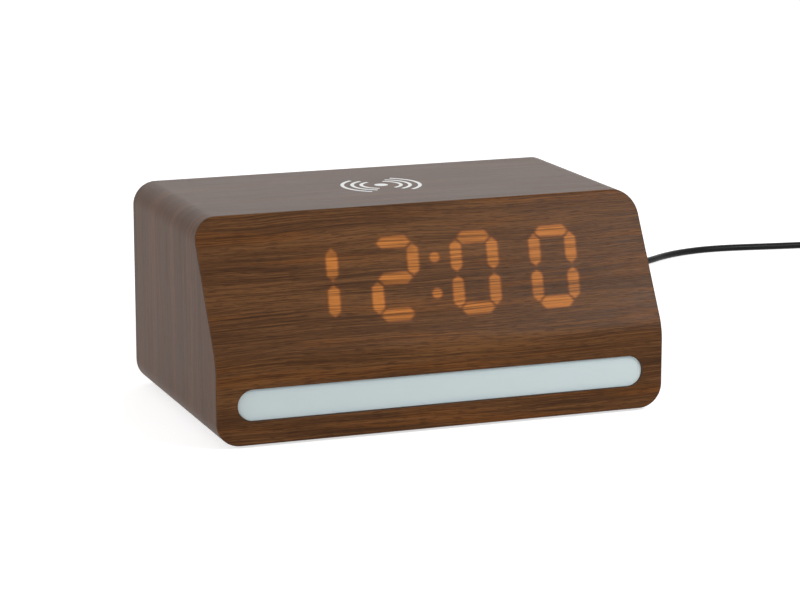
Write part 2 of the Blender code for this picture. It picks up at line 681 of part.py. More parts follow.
def segment_outline(letter, digit, grow=0.0):
    """One bar of a seven-segment digit, pointed at both ends, drawn on the sloping face."""
    column, row = {
        "a": (0, 2), "b": (1, 1), "c": (1, -1), "d": (0, -2), "e": (-1, -1), "f": (-1, 1), "g": (0, 0),
    }[letter]
    upright = column != 0
    length = (SEGMENT_TALL if upright else SEGMENT_WIDE) / 2 + grow * math.sqrt(2)
    half = SEGMENT_STROKE / 2 + grow
    bar = [
        (-length, 0), (half - length, -half), (length - half, -half),
        (length, 0), (length - half, half), (half - length, half),
    ]
    middle_x, middle_y = column * COLUMN_OFFSET, row * ROW_OFFSET / 2
    outline = []
    for along, side in bar:
        across, up = (middle_x - side, middle_y + along) if upright else (middle_x + along, middle_y + side)
        outline.append((digit_x(digit) + across + up * math.tan(DIGIT_SLANT), DISPLAY_RISE + up))
    return outline


def digit_x(digit):
    """The middle of a digit, counted from 0 at the left."""
    return DISPLAY_SHIFT + (digit - (len(LIT_SEGMENTS) - 1) / 2) * DIGIT_PITCH


def colon_outlines(grow=0.0):
    """The two round dots between the hours and the minutes."""
    lean = COLON_OFFSET * math.tan(DIGIT_SLANT)
    return [
        circle((DISPLAY_SHIFT + side * lean, DISPLAY_RISE + side * COLON_OFFSET), COLON_RADIUS + grow, PLUG_SIDES)
        for side in (1, -1)
    ]


def lit_outlines(digit, grow=0.0):
    """The lit bars of one digit."""
    return [segment_outline(letter, digit, grow) for letter in LIT_SEGMENTS[digit]]


def make_front_panel():
    """The bent front board, trimmed to the case's outline, with its slot and lit windows."""
    reach = CASE_WIDTH / 2 + OVERRUN
    band = front_line(0) + front_line(PANEL_THICKNESS)[::-1]
    panel = slab("front_panel", [band], -reach, reach, SIDE, WALNUT)
    trim(panel, wall_slab("case_outline_prism", [case_outline(0)], FRONT_Y - OVERRUN, BACK_Y))
    slot = pill((0, SLOT_Z), SLOT_LENGTH, SLOT_HEIGHT)
    cut(panel, wall_slab("light_slot", [slot], FRONT_Y - OVERRUN, FLANGE_BACK_Y + OVERRUN))
    windows = [outline for digit in range(len(LIT_SEGMENTS)) for outline in lit_outlines(digit, GAP)]
    windows += colon_outlines(GAP)
    return cut(panel, slab("lit_windows", windows, GUIDE_TOP - OVERRUN, OVERRUN, FACE))


def make_digit_guides():
    """One light guide for each digit, whose lands fill the panel's windows, and one for the colon."""
    for digit in range(len(LIT_SEGMENTS)):
        base = rectangle((digit_x(digit), DISPLAY_RISE), GUIDE_WIDTH, GUIDE_HEIGHT)
        guide = slab(f"digit_{digit + 1}", [base], GUIDE_BOTTOM, GUIDE_TOP, FACE, AMBER)
        fuse(guide, slab(f"digit_{digit + 1}_lands", lit_outlines(digit), GUIDE_TOP - BITE, 0, FACE))
    base = rectangle((DISPLAY_SHIFT, DISPLAY_RISE), COLON_GUIDE_WIDTH, GUIDE_HEIGHT)
    guide = slab("colon_guide", [base], GUIDE_BOTTOM, GUIDE_TOP, FACE, AMBER)
    fuse(guide, slab("colon_lands", colon_outlines(), GUIDE_TOP - BITE, 0, FACE))


def middle_of(outline):
    """The mean of an outline's points."""
    return (sum(p[0] for p in outline) / len(outline), sum(p[1] for p in outline) / len(outline))


def shrunk(outline, share):
    """An outline drawn in towards its own middle."""
    x, y = middle_of(outline)
    return [(x + (across - x) * share, y + (up - y) * share) for across, up in outline]


def all_display_outlines():
    """Every bar of every digit and the colon's dots, lit or not."""
    digits = range(len(LIT_SEGMENTS))
    return [segment_outline(letter, digit) for digit in digits for letter in "abcdefg"] + colon_outlines()


def make_display():
    """The reflector, one tapered well for each bar, and the board with a lamp in each well."""
    middle = (DISPLAY_SHIFT, DISPLAY_RISE)
    outline = rectangle(middle, REFLECTOR_WIDTH, REFLECTOR_HEIGHT)
    reflector = slab("display_reflector", [outline], REFLECTOR_BOTTOM, REFLECTOR_TOP, FACE, WHITE_PLASTIC)
    wells = [(shrunk(well, WELL_BACK_SHARE), well) for well in all_display_outlines()]
    cut(reflector, lofts("reflector_wells", wells, REFLECTOR_BOTTOM - BITE, REFLECTOR_TOP + BITE, FACE))
    board = slab("display_board", [outline], DISPLAY_BOARD_BOTTOM, DISPLAY_BOARD_TOP, FACE, GREEN_BOARD)
    lamps = [rectangle(middle_of(well), LED_SIDE, LED_SIDE) for well in all_display_outlines()]
    top = DISPLAY_BOARD_TOP + LED_HEIGHT
    fuse(board, slab("display_lamps", lamps, DISPLAY_BOARD_TOP - BITE, top, FACE))
    x, up = display_connector()
    low = DISPLAY_BOARD_BOTTOM - CONNECTOR_HEIGHT
    plug = rectangle((x, up), CONNECTOR_SIDE, CONNECTOR_SIDE)
    fuse(board, slab("display_connector", [plug], low, DISPLAY_BOARD_BOTTOM + BITE, FACE))


def display_connector():
    """The middle of the display board's connector, on the sloping face."""
    x = DISPLAY_SHIFT + REFLECTOR_WIDTH / 2 - CONNECTOR_SIDE
    return (x, DISPLAY_RISE)


def make_light_bar():
    """The milky lens in its slot, the white trough behind it and the row of lamps."""
    lens_outline = pill((0, SLOT_Z), SLOT_LENGTH - 2 * GAP, SLOT_HEIGHT - 2 * GAP)
    lens = wall_slab("light_bar_lens", [lens_outline], FRONT_Y + LENS_RECESS, FLANGE_FRONT_Y + BITE, MILKY)
    length, height = SLOT_LENGTH + 2 * LENS_FLANGE_MARGIN, SLOT_HEIGHT + 2 * LENS_FLANGE_MARGIN
    flange = pill((0, SLOT_Z), length, height)
    fuse(lens, wall_slab("lens_flange", [flange], FLANGE_FRONT_Y, FLANGE_BACK_Y))
    walls = rectangle((0, SLOT_Z), SLOT_LENGTH, height)
    trough = wall_slab("light_bar_trough", [walls], TROUGH_FRONT_Y, TROUGH_BACK_Y, WHITE_PLASTIC)
    hollow = rectangle((0, SLOT_Z), SLOT_LENGTH - 2 * TROUGH_WALL, height - 2 * TROUGH_WALL)
    floor_y = TROUGH_BACK_Y - TROUGH_WALL
    cut(trough, wall_slab("trough_hollow", [hollow], TROUGH_FRONT_Y - OVERRUN, floor_y))
    margin = 2 * (TROUGH_WALL + LAMP_BOARD_MARGIN)
    strip = rectangle((0, SLOT_Z), SLOT_LENGTH - margin, height - margin)
    back_y = floor_y - GAP
    front_y = back_y - LAMP_BOARD_THICKNESS
    board = wall_slab("light_bar_board", [strip], front_y, back_y, GREEN_BOARD)
    spacing = (SLOT_LENGTH - margin) / LAMP_COUNT
    places = [((index - (LAMP_COUNT - 1) / 2) * spacing, SLOT_Z) for index in range(LAMP_COUNT)]
    lamps = [rectangle(where, LAMP_SIDE, LAMP_SIDE) for where in places]
    fuse(board, wall_slab("light_bar_lamps", lamps, front_y - LAMP_HEIGHT, front_y + BITE))


def winding_points():
    """The charger's flat spiral, wound outwards, with straight ends."""
    points = []
    for index in range(WINDING_TURNS * WINDING_TURN_POINTS + 1):
        turn = index / WINDING_TURN_POINTS
        radius = WINDING_INNER_RADIUS + turn * WINDING_PITCH
        angle = turn * math.tau
        points.append(Vector((radius * math.cos(angle), CHARGE_Y + radius * math.sin(angle), WINDING_Z)))
    ends = [(points[0] - points[1]).normalized(), (points[-1] - points[-2]).normalized()]
    reach = 2 * WIRE_RADIUS
    return [points[0] + ends[0] * reach, *points, points[-1] + ends[1] * reach]


def make_charger():
    """The winding, its ferrite sheet, the tray that holds them to the roof, and the driver board."""
    tube("charging_coil", winding_points(), WIRE_RADIUS, 0, COPPER)
    middle = (0, CHARGE_Y)
    sheet = rounded(middle, FERRITE_SIDE, FERRITE_SIDE, FERRITE_CORNER, CORNER_STEPS // 2)
    slab("ferrite_sheet", [sheet], FERRITE_BOTTOM_Z, FERRITE_TOP_Z, FLOOR, FERRITE)
    plate = rounded(middle, TRAY_SIDE, TRAY_SIDE, TRAY_CORNER, CORNER_STEPS // 2)
    tray = slab("charger_tray", [plate], TRAY_BOTTOM_Z, TRAY_TOP_Z, FLOOR, BLACK_PLASTIC)
    inside = rounded(
        middle, TRAY_SIDE - 2 * TRAY_RIM, TRAY_SIDE - 2 * TRAY_RIM, TRAY_CORNER - TRAY_RIM, CORNER_STEPS // 2
    )
    rim_top = TRAY_TOP_Z + TRAY_RIM_HEIGHT
    fuse(tray, slab("tray_rim", [plate, inside], TRAY_TOP_Z - BITE, rim_top, FLOOR))
    ear = pill(middle, 2 * TRAY_EAR_REACH, TRAY_EAR_WIDTH, CORNER_STEPS // 2)
    ears = slab("tray_ears", [ear], TRAY_BOTTOM_Z + BITE, TRAY_TOP_Z - BITE / 2, FLOOR)
    fuse(tray, ears)
    for index, (x, y) in enumerate(tray_screw_places()):
        start, end = (x, y, TRAY_BOTTOM_Z - OVERRUN), (x, y, TRAY_TOP_Z + OVERRUN)
        cut(tray, rod(f"tray_screw_hole_{index + 1}", start, end, COVER_SCREW_HOLE, sides=SCREW_SIDES))
    reach_x = CHARGER_BOARD_LENGTH / 2 - TRAY_POST_INSET
    reach_y = CHARGER_BOARD_WIDTH / 2 - TRAY_POST_INSET
    posts = [(x * reach_x, CHARGE_Y + y * reach_y) for x in (-1, 1) for y in (-1, 1)]
    outlines = [circle(where, TRAY_POST_RADIUS, SCREW_SIDES) for where in posts]
    bottom = TRAY_BOTTOM_Z - TRAY_POST_HEIGHT
    fuse(tray, slab("tray_posts", outlines, bottom, TRAY_BOTTOM_Z + BITE, FLOOR))
    card = rectangle(middle, CHARGER_BOARD_LENGTH, CHARGER_BOARD_WIDTH)
    board = slab("charger_board", [card], CHARGER_BOARD_BOTTOM_Z, CHARGER_BOARD_TOP_Z, FLOOR, GREEN_BOARD)
    chip = rectangle((-CHIP_SIDE, CHARGE_Y), CHIP_SIDE, CHIP_SIDE)
    low = CHARGER_BOARD_BOTTOM_Z - CHIP_HEIGHT
    fuse(board, slab("charger_chip", [chip], low, CHARGER_BOARD_BOTTOM_Z + BITE, FLOOR))
    choke = rounded((CHIP_SIDE, CHARGE_Y), CHOKE_SIDE, CHOKE_SIDE, CHOKE_CORNER, CORNER_STEPS // 4)
    low = CHARGER_BOARD_BOTTOM_Z - CHOKE_HEIGHT
    fuse(board, slab("charger_choke", [choke], low, CHARGER_BOARD_BOTTOM_Z + BITE, FLOOR))


def make_rear_cover():
    """The inset rear moulding: holes, board posts and the battery cup with its bayonet ledge."""
    openings = [circle(where, BUTTON_RADIUS + GAP, BUTTON_SIDES) for where in button_places()]
    openings += [circle(where, SOUND_HOLE_RADIUS, SCREW_SIDES - 2) for where in sound_places()]
    openings += [circle(where, COVER_SCREW_HOLE, SCREW_SIDES) for where in cover_screw_places()]
    openings.append(rectangle((SOCKET_X, SOCKET_RISE), SOCKET_WIDTH + 2 * GAP, SOCKET_HEIGHT + 2 * GAP))
    openings.append(circle((BATTERY_X, BATTERY_RISE), CUP_RADIUS))
    outline = case_outline(REBATE_WALL + GAP)
    cover = wall_slab("rear_cover", [outline], COVER_IN_Y, COVER_OUT_Y, BLACK_PLASTIC)
    cut(cover, wall_slab("cover_openings", openings, COVER_IN_Y - OVERRUN, COVER_OUT_Y + OVERRUN))
    posts = [circle(where, BOARD_POST_RADIUS, SCREW_SIDES) for where in board_post_places()]
    fuse(cover, wall_slab("board_posts", posts, BOARD_REAR_Y + GAP, COVER_IN_Y + BITE))
    ledge_radius = DOOR_SKIRT_RADIUS + GAP
    outer = CUP_RADIUS + CUP_WALL
    profile = [
        (0, CUP_FLOOR_Y), (CUP_RADIUS, CUP_FLOOR_Y), (CUP_RADIUS, LEDGE_BOTTOM_Y),
        (ledge_radius, LEDGE_BOTTOM_Y), (ledge_radius, LEDGE_TOP_Y), (CUP_RADIUS + BITE, LEDGE_TOP_Y),
        (outer, COVER_IN_Y + BITE), (outer, CUP_FLOOR_Y - CUP_FLOOR), (0, CUP_FLOOR_Y - CUP_FLOOR),
    ]
    fuse(cover, turned("battery_cup", profile, battery_frame()))
    for index in range(2):
        turn = Matrix.Rotation(DOOR_TURN + index * math.pi, 4, "Z")
        half = DOOR_LUG_WIDTH / 2 + 2 * GAP
        low = (DOOR_SKIRT_RADIUS - BITE, -half, LEDGE_BOTTOM_Y - BITE)
        high = (DOOR_SKIRT_RADIUS + DOOR_LUG_REACH + GAP, half, LEDGE_TOP_Y + BITE)
        cut(cover, block(f"lug_gate_{index + 1}", low, high, frame=battery_frame() @ turn))
    return cover


def battery_frame():
    """The battery compartment's axis, pointing out of the back, with heights equal to world Y."""
    return Matrix.Translation((BATTERY_X, 0, BATTERY_RISE)) @ AXIS_BACK


def make_battery():
    """The twist cover with its lugs and coin slot, the coin cell and its contact."""
    top = COVER_OUT_Y
    skirt_inner = DOOR_SKIRT_RADIUS - DOOR_SKIRT_WALL
    under = -DOOR_THICKNESS
    bottom = under - DOOR_SKIRT_DEPTH
    profile = [
        (0, 0), (DOOR_RADIUS, 0), (DOOR_RADIUS, under), (DOOR_SKIRT_RADIUS, under),
        (DOOR_SKIRT_RADIUS, bottom), (skirt_inner, bottom), (skirt_inner, under), (0, under),
    ]
    frame = battery_frame() @ Matrix.Translation((0, 0, top))
    door = turned("battery_cover", profile, frame, BLACK_PLASTIC)
    for index in range(2):
        turn = Matrix.Rotation(index * math.pi, 4, "Z")
        low = (DOOR_SKIRT_RADIUS - DOOR_SKIRT_WALL / 2, -DOOR_LUG_WIDTH / 2, bottom)
        reach = DOOR_SKIRT_RADIUS + DOOR_LUG_REACH
        high = (reach, DOOR_LUG_WIDTH / 2, bottom + DOOR_LUG_THICKNESS)
        fuse(door, block(f"door_lug_{index + 1}", low, high, frame=frame @ turn))
    half, width = DOOR_COIN_SLOT / 2, DOOR_COIN_SLOT_WIDTH / 2
    low, high = (-half, -width, -DOOR_COIN_SLOT_DEPTH), (half, width, OVERRUN)
    cut(door, block("coin_slot", low, high, frame=frame))
    profile = [
        (0, CELL_TOP_Y), (CELL_RADIUS, CELL_TOP_Y), (CELL_RADIUS, CELL_BOTTOM_Y + CELL_STEP),
        (CELL_RADIUS - CELL_STEP, CELL_BOTTOM_Y), (0, CELL_BOTTOM_Y),
    ]
    turned("coin_cell", profile, battery_frame(), STEEL)
    leaf = pill((BATTERY_X, BATTERY_RISE), CONTACT_LENGTH, CONTACT_WIDTH, CORNER_STEPS // 2)
    front_y = CUP_FLOOR_Y + GAP
    wall_slab("battery_contact", [leaf], front_y, front_y + CONTACT_THICKNESS, STEEL)


def make_buttons():
    """The rear buttons, each on its own axis, with the switch that its stem presses."""
    face_height = BUTTON_PROUD
    flange_top = -(COVER_THICKNESS + GAP)
    flange_bottom = flange_top - BUTTON_FLANGE
    switch_top = BOARD_REAR_Y + GAP + SWITCH_HEIGHT
    well_floor = switch_top - SWITCH_WELL_DEPTH
    stem_end = well_floor + BUTTON_TRAVEL + GAP - COVER_OUT_Y
    profile = [
        (0, face_height), (BUTTON_RADIUS - BUTTON_DOME, face_height), (BUTTON_RADIUS, face_height - BUTTON_DOME),
        (BUTTON_RADIUS, flange_top), (BUTTON_FLANGE_RADIUS, flange_top), (BUTTON_FLANGE_RADIUS, flange_bottom),
        (BUTTON_STEM_RADIUS, flange_bottom), (BUTTON_STEM_RADIUS, stem_end), (0, stem_end),
    ]
    names = ("button_mode", "button_alarm", "button_up", "button_down", "button_light")
    for index, (x, z) in enumerate(button_places()):
        frame = Matrix.Translation((x, COVER_OUT_Y, z)) @ AXIS_BACK
        turned(names[index], profile, frame, BLACK_PLASTIC, BUTTON_SIDES)
        half = SWITCH_SIDE / 2
        low, high = (x - half, BOARD_REAR_Y + GAP, z - half), (x + half, switch_top, z + half)
        switch = block(f"switch_{index + 1}", low, high, BLACK_PLASTIC)
        start, end = (x, well_floor, z), (x, switch_top + OVERRUN, z)
        well = rod(f"switch_well_{index + 1}", start, end, BUTTON_STEM_RADIUS + GAP, sides=SCREW_SIDES)
        cut(switch, well)


def make_control_board():
    """The board behind the rear cover with its chip, capacitor and connectors."""
    outline = rectangle((0, CONTROL_BOARD_RISE), CONTROL_BOARD_WIDTH, CONTROL_BOARD_HEIGHT)
    board = wall_slab("control_board", [outline], BOARD_FRONT_Y, BOARD_REAR_Y, GREEN_BOARD)
    chip = rectangle((-CHIP_SIDE, CONTROL_BOARD_RISE), CHIP_SIDE, CHIP_SIDE)
    fuse(board, wall_slab("clock_chip", [chip], BOARD_FRONT_Y - CHIP_HEIGHT, BOARD_FRONT_Y + BITE))
    can = circle((CHIP_SIDE, CONTROL_BOARD_RISE), CAPACITOR_RADIUS, PLUG_SIDES)
    fuse(board, wall_slab("capacitor", [can], BOARD_FRONT_Y - CAPACITOR_HEIGHT, BOARD_FRONT_Y + BITE))
    plugs = [rectangle(where, CONNECTOR_SIDE, CONNECTOR_SIDE) for where in control_connectors()]
    fuse(board, wall_slab("board_connectors", plugs, BOARD_FRONT_Y - CONNECTOR_HEIGHT, BOARD_FRONT_Y + BITE))


def control_connectors():
    """The middles of the control board's three connectors: display, light bar and charger."""
    edge = CONTROL_BOARD_WIDTH / 2 - CONNECTOR_SIDE
    top = CONTROL_BOARD_RISE + CONTROL_BOARD_HEIGHT / 2 - CONNECTOR_SIDE
    bottom = CONTROL_BOARD_RISE - CONTROL_BOARD_HEIGHT / 2 + CONNECTOR_SIDE
    return [(edge, CONTROL_BOARD_RISE), (edge, bottom), (-edge, top)]


def make_buzzer():
    """The sounder can behind the sound holes."""
    base = BOARD_REAR_Y + GAP
    top = base + BUZZER_HEIGHT
    profile = [
        (0, top - BUZZER_HOLE_DEPTH), (BUZZER_HOLE_RADIUS, top - BUZZER_HOLE_DEPTH), (BUZZER_HOLE_RADIUS, top),
        (BUZZER_RADIUS, top), (BUZZER_RADIUS, base), (0, base),
    ]
    turned("buzzer", profile, Matrix.Translation((0, 0, SOUND_RISE)) @ AXIS_BACK, BLACK_PLASTIC, PLUG_SIDES)


def make_power():
    """The round power socket, and the plug in it with its ribbed, tapered strain relief."""
    half_x, half_z = SOCKET_WIDTH / 2, SOCKET_HEIGHT / 2
    low = (SOCKET_X - half_x, BOARD_REAR_Y + GAP, SOCKET_RISE - half_z)
    high = (SOCKET_X + half_x, SOCKET_FACE_Y, SOCKET_RISE + half_z)
    socket = block("power_socket", low, high, BLACK_PLASTIC)
    axis = Matrix.Translation((SOCKET_X, 0, SOCKET_RISE)) @ AXIS_BACK
    bore_floor = SOCKET_FACE_Y - SOCKET_BORE_DEPTH
    bore = [
        (SOCKET_BORE_RADIUS, SOCKET_FACE_Y + OVERRUN), (SOCKET_BORE_RADIUS, bore_floor),
        (SOCKET_PIN_RADIUS, bore_floor), (SOCKET_PIN_RADIUS, SOCKET_FACE_Y + OVERRUN),
    ]
    cut(socket, turned("socket_bore", bore, axis, sides=PLUG_SIDES, closed=True))
    tip, end = PLUG_FACE_Y + BARREL_HOLD - BARREL_LENGTH, PLUG_FACE_Y + BARREL_HOLD
    barrel = [(BARREL_RADIUS, end), (BARREL_RADIUS, tip), (BARREL_BORE_RADIUS, tip), (BARREL_BORE_RADIUS, end)]
    turned("plug_barrel", barrel, axis, STEEL, PLUG_SIDES, closed=True)
    hold, hold_end = BARREL_RADIUS + GAP, end + GAP
    shoulder = PLUG_FACE_Y + GRIP_LENGTH
    profile = [(0, RELIEF_END_Y), (RELIEF_END_RADIUS, RELIEF_END_Y)]
    step = RELIEF_LENGTH / (2 * RELIEF_RIBS + 1)
    for rib in range(2 * RELIEF_RIBS):
        share = (rib + 1) / (2 * RELIEF_RIBS + 1)
        radius = RELIEF_END_RADIUS + (RELIEF_START_RADIUS - RELIEF_END_RADIUS) * share
        groove = RELIEF_RIB_HEIGHT if rib % 2 else 0
        profile.append((radius - groove, RELIEF_END_Y - (rib + 1) * step))
    profile += [
        (RELIEF_START_RADIUS, shoulder), (GRIP_RADIUS - GRIP_CHAMFER, shoulder),
        (GRIP_RADIUS, shoulder - GRIP_CHAMFER), (GRIP_RADIUS, PLUG_FACE_Y), (hold, PLUG_FACE_Y),
        (hold, hold_end), (0, hold_end),
    ]
    turned("plug_grip", profile, axis, BLACK_VINYL, PLUG_SIDES)


def screw(name, length, frame):
    """A pan-head screw with a crossed recess: its head sits on the frame's origin and it points to -Z."""
    top = SCREW_HEAD_HEIGHT
    profile = [
        (0, top), (SCREW_HEAD_RADIUS - SCREW_CROWN, top), (SCREW_HEAD_RADIUS, top - SCREW_CROWN),
        (SCREW_HEAD_RADIUS, 0), (SCREW_RADIUS, 0), (SCREW_RADIUS, SCREW_RADIUS - length), (0, -length),
    ]
    made = turned(name, profile, frame, STEEL, SCREW_SIDES)
    half, width = SCREW_RECESS_LENGTH / 2, SCREW_RECESS_WIDTH / 2
    floor = top - SCREW_RECESS_DEPTH
    along = block(name + "_recess_a", (-half, -width, floor), (half, width, top + OVERRUN), frame=frame)
    across = block(name + "_recess_b", (-width, -half, floor), (width, half, top + OVERRUN), frame=frame)
    return cut(made, fuse(along, across))


def make_screws():
    """Four screws through the rear cover and two that hold the charger tray to the roof."""
    for index, (x, z) in enumerate(cover_screw_places()):
        frame = Matrix.Translation((x, COVER_OUT_Y + GAP, z)) @ AXIS_BACK
        screw(f"rear_screw_{index + 1}", SCREW_LENGTH, frame)
    under = Matrix.Rotation(math.pi, 4, "X")
    for index, (x, y) in enumerate(tray_screw_places()):
        frame = Matrix.Translation((x, y, TRAY_SCREW_SEAT_Z)) @ under
        screw(f"tray_screw_{index + 1}", TRAY_SCREW_LENGTH, frame)


def make_feet():
    """Four rubber feet in their seats."""
    top = FLOOR_Z + FOOT_SEAT_DEPTH
    profile = [
        (0, top), (FOOT_RADIUS, top), (FOOT_RADIUS, FOOT_CHAMFER), (FOOT_RADIUS - FOOT_CHAMFER, 0), (0, 0),
    ]
    for index, (x, y) in enumerate(foot_places()):
        turned(f"foot_{index + 1}", profile, Matrix.Translation((x, y, 0)), BLACK_RUBBER, BUTTON_SIDES)


def smooth_route(knots, spacing, floor=None):
    """Points at an even spacing on one smooth curve through the knots, no lower than the floor."""
    knots = [Vector(knot) for knot in knots]
    knots = [2 * knots[0] - knots[1], *knots, 2 * knots[-1] - knots[-2]]
    fine = []
    for before, start, end, after in zip(knots, knots[1:], knots[2:], knots[3:]):
        for index in range(ROUTE_STEPS):
            t = index / ROUTE_STEPS
            bend = (2 * start + (end - before) * t + (2 * before - 5 * start + 4 * end - after) * t**2) / 2
            fine.append(bend + (3 * start - before - 3 * end + after) * t**3 / 2)
    fine.append(knots[-2])
    lengths = [0.0]
    for first, second in zip(fine, fine[1:]):
        lengths.append(lengths[-1] + (second - first).length)
    count = max(2, round(lengths[-1] / spacing))
    points, place_on = [], 0
    for index in range(count + 1):
        goal = lengths[-1] * index / count
        while place_on < len(fine) - 2 and lengths[place_on + 1] < goal:
            place_on += 1
        share = (goal - lengths[place_on]) / (lengths[place_on + 1] - lengths[place_on])
        point = fine[place_on].lerp(fine[place_on + 1], min(share, 1))
        if floor is not None:
            point.z = max(point.z, floor)
        points.append(point)
    return points


def length_of(points):
    """The length along a run of points."""
    return sum((second - first).length for first, second in zip(points, points[1:]))


def eased(share):
    """A smooth step from 0 to 1."""
    share = min(max(share, 0.0), 1.0)
    return share * share * (3 - 2 * share)


def coil_points():
    """The wound cord: in along the table, up half a turn at the middle, out on top, then straight to the plug."""
    centre_y = CORD_ROUTE[-1][1] - COIL_OUTER_RADIUS
    turns = COIL_TURNS_IN + COIL_TURNS_OUT
    count = round(turns * COIL_TURN_POINTS)
    points = []
    for index in range(count + 1):
        turn = turns * index / count
        radius = COIL_INNER_RADIUS + COIL_PITCH * abs(turn - COIL_TURNS_IN)
        climb = eased((turn - COIL_TURNS_IN) / COIL_CLIMB_TURNS + 1 / 2)
        angle = math.pi / 2 - turn * math.tau
        x, y = COIL_CENTRE_X + radius * math.cos(angle), centre_y + radius * math.sin(angle)
        points.append(Vector((x, y, CORD_RADIUS + climb * COIL_PITCH)))
    lead = points[0] - Vector((2 * CORD_RADIUS, 0, 0))
    top = points[-1]
    tail = []
    for index in range(COIL_TAIL_POINTS):
        share = (index + 1) / COIL_TAIL_POINTS
        drop = (USB_AXIS_Z - top.z) * eased(share)
        tail.append(top + Vector((0, -COIL_TAIL * share, drop)))
    tail.append(tail[-1] - Vector((0, 2 * CORD_RADIUS, 0)))
    return [lead, *points, *tail]


def least_gap(points, radius, turn_points):
    """The smallest clear distance between a coil's own turns."""
    least = math.inf
    for index, point in enumerate(points):
        for other in points[index + turn_points // 2:]:
            least = min(least, (other - point).length - 2 * radius)
    return least


def make_cord():
    """The free cord, its wound-up rest and the flat power plug at its end."""
    route = smooth_route(CORD_ROUTE, CORD_POINT_SPACING, CORD_RADIUS)
    tube("cord", route, CORD_RADIUS, 2, BLACK_VINYL)
    loops = coil_points()
    tube("cord_coil", loops, CORD_RADIUS, 1, BLACK_VINYL)
    total = length_of(route) + length_of(loops)
    print(f"cord: {length_of(route):.3f} m free, {length_of(loops):.3f} m wound, {total:.3f} m in all")
    print(f"coil: least gap to itself {1000 * least_gap(loops, CORD_RADIUS, COIL_TURN_POINTS):.2f} mm")
    end = loops[-1]
    grip_back, grip_front = end.y - GAP, end.y - GAP - USB_GRIP_LENGTH
    outline = rounded((end.x, end.z), USB_GRIP_WIDTH, USB_GRIP_THICKNESS, USB_GRIP_CORNER, CORNER_STEPS // 2)
    grip = wall_slab("usb_grip", [outline], grip_front, grip_back, BLACK_VINYL)
    shell_front, shell_back = grip_front - USB_SHELL_REACH, grip_front + USB_SHELL_HOLD
    pocket = rectangle((end.x, end.z), USB_SHELL_WIDTH + 2 * GAP, USB_SHELL_HEIGHT + 2 * GAP)
    cut(grip, wall_slab("usb_grip_pocket", [pocket], grip_front - OVERRUN, shell_back + GAP))
    skin = rectangle((end.x, end.z), USB_SHELL_WIDTH, USB_SHELL_HEIGHT)
    inner_width, inner_height = USB_SHELL_WIDTH - 2 * USB_SHELL_WALL, USB_SHELL_HEIGHT - 2 * USB_SHELL_WALL
    hollow = rectangle((end.x, end.z), inner_width, inner_height)
    wall_slab("usb_shell", [skin, hollow], shell_front, shell_back, STEEL)
    tongue_z = end.z + inner_height / 2 - GAP - USB_TONGUE_THICKNESS / 2
    tongue = rectangle((end.x, tongue_z), USB_TONGUE_WIDTH, USB_TONGUE_THICKNESS)
    wall_slab("usb_tongue", [tongue], shell_front + GAP, shell_back, WHITE_PLASTIC)


def make_leads():
    """The three leads between the boards, each hanging a little along its way."""
    display_x, display_up = display_connector()
    under = DISPLAY_BOARD_BOTTOM - CONNECTOR_HEIGHT - GAP
    display_end = FACE @ Vector((display_x, display_up, under))
    display_out = FACE @ Vector((display_x, display_up, under - CONNECTOR_SIDE))
    trough_x = SLOT_LENGTH / 2 - CONNECTOR_SIDE
    board_y = BOARD_FRONT_Y - CONNECTOR_HEIGHT - GAP
    display_plug, lamp_plug, charger_plug = (Vector((x, board_y, z)) for x, z in control_connectors())
    step = Vector((0, CONNECTOR_SIDE, 0))
    sag = Vector((0, 0, LEAD_SAG))
    lamp_end = Vector((trough_x, TROUGH_BACK_Y + GAP, SLOT_Z))
    charger_edge = Vector((-CHARGER_BOARD_LENGTH / 2 - GAP, CHARGE_Y, CHARGER_BOARD_BOTTOM_Z + LEAD_RADIUS))
    charger_out = charger_edge - Vector((CONNECTOR_SIDE, 0, 0))
    runs = {
        "display_lead": (display_end, display_out, display_plug - step, display_plug),
        "lamp_lead": (lamp_end, lamp_end + step, lamp_plug - step, lamp_plug),
        "charger_lead": (charger_edge, charger_out, charger_plug - step, charger_plug),
    }
    for name, (start, out, back, end) in runs.items():
        middle = (out + back) / 2 - sag
        route = smooth_route((start, out, middle, back, end), LEAD_POINT_SPACING)
        tube(name, route, LEAD_RADIUS, 1, BLACK_VINYL)


def shade_parts():
    """Settles each part's modifiers into its mesh and shades it smooth between its sharp edges."""
    graph = bpy.context.evaluated_depsgraph_get()
    for made in list(PARTS.objects):
        if made.type != "MESH":
            continue
        mesh = bpy.data.meshes.new_from_object(made.evaluated_get(graph))
        mesh.name = made.name
        made.modifiers.clear()
        made.data = mesh
        mesh.shade_smooth()
        mesh.set_sharp_from_angle(angle=SHARP_ANGLE)


def main():
    """Builds every piece."""
    make_case_shell()
    make_front_panel()
    make_digit_guides()
    make_display()
    make_light_bar()
    make_charger()
    make_rear_cover()
    make_battery()
    make_buttons()
    make_control_board()
    make_buzzer()
    make_power()
    make_screws()
    make_feet()
    make_cord()
    make_leads()
    bpy.context.view_layer.update()
    shade_parts()


main()
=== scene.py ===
"""The looks of a bedside alarm clock: walnut wrap, digits lit through it, a milky light bar and a power cord.

Lengths are in metres in the clock's own frame: it stands on the XY plane, its face looks towards -Y, and +X is on
the right of someone who reads it. Patterns are given in millimetres, as their real sizes are known that way.
"""

import logging
import math
from collections.abc import Callable, Iterator, Sequence
from contextlib import contextmanager
from dataclasses import dataclass
from enum import Enum
from functools import cached_property
from itertools import pairwise

import bmesh
import bpy
from mathutils import Matrix, Vector


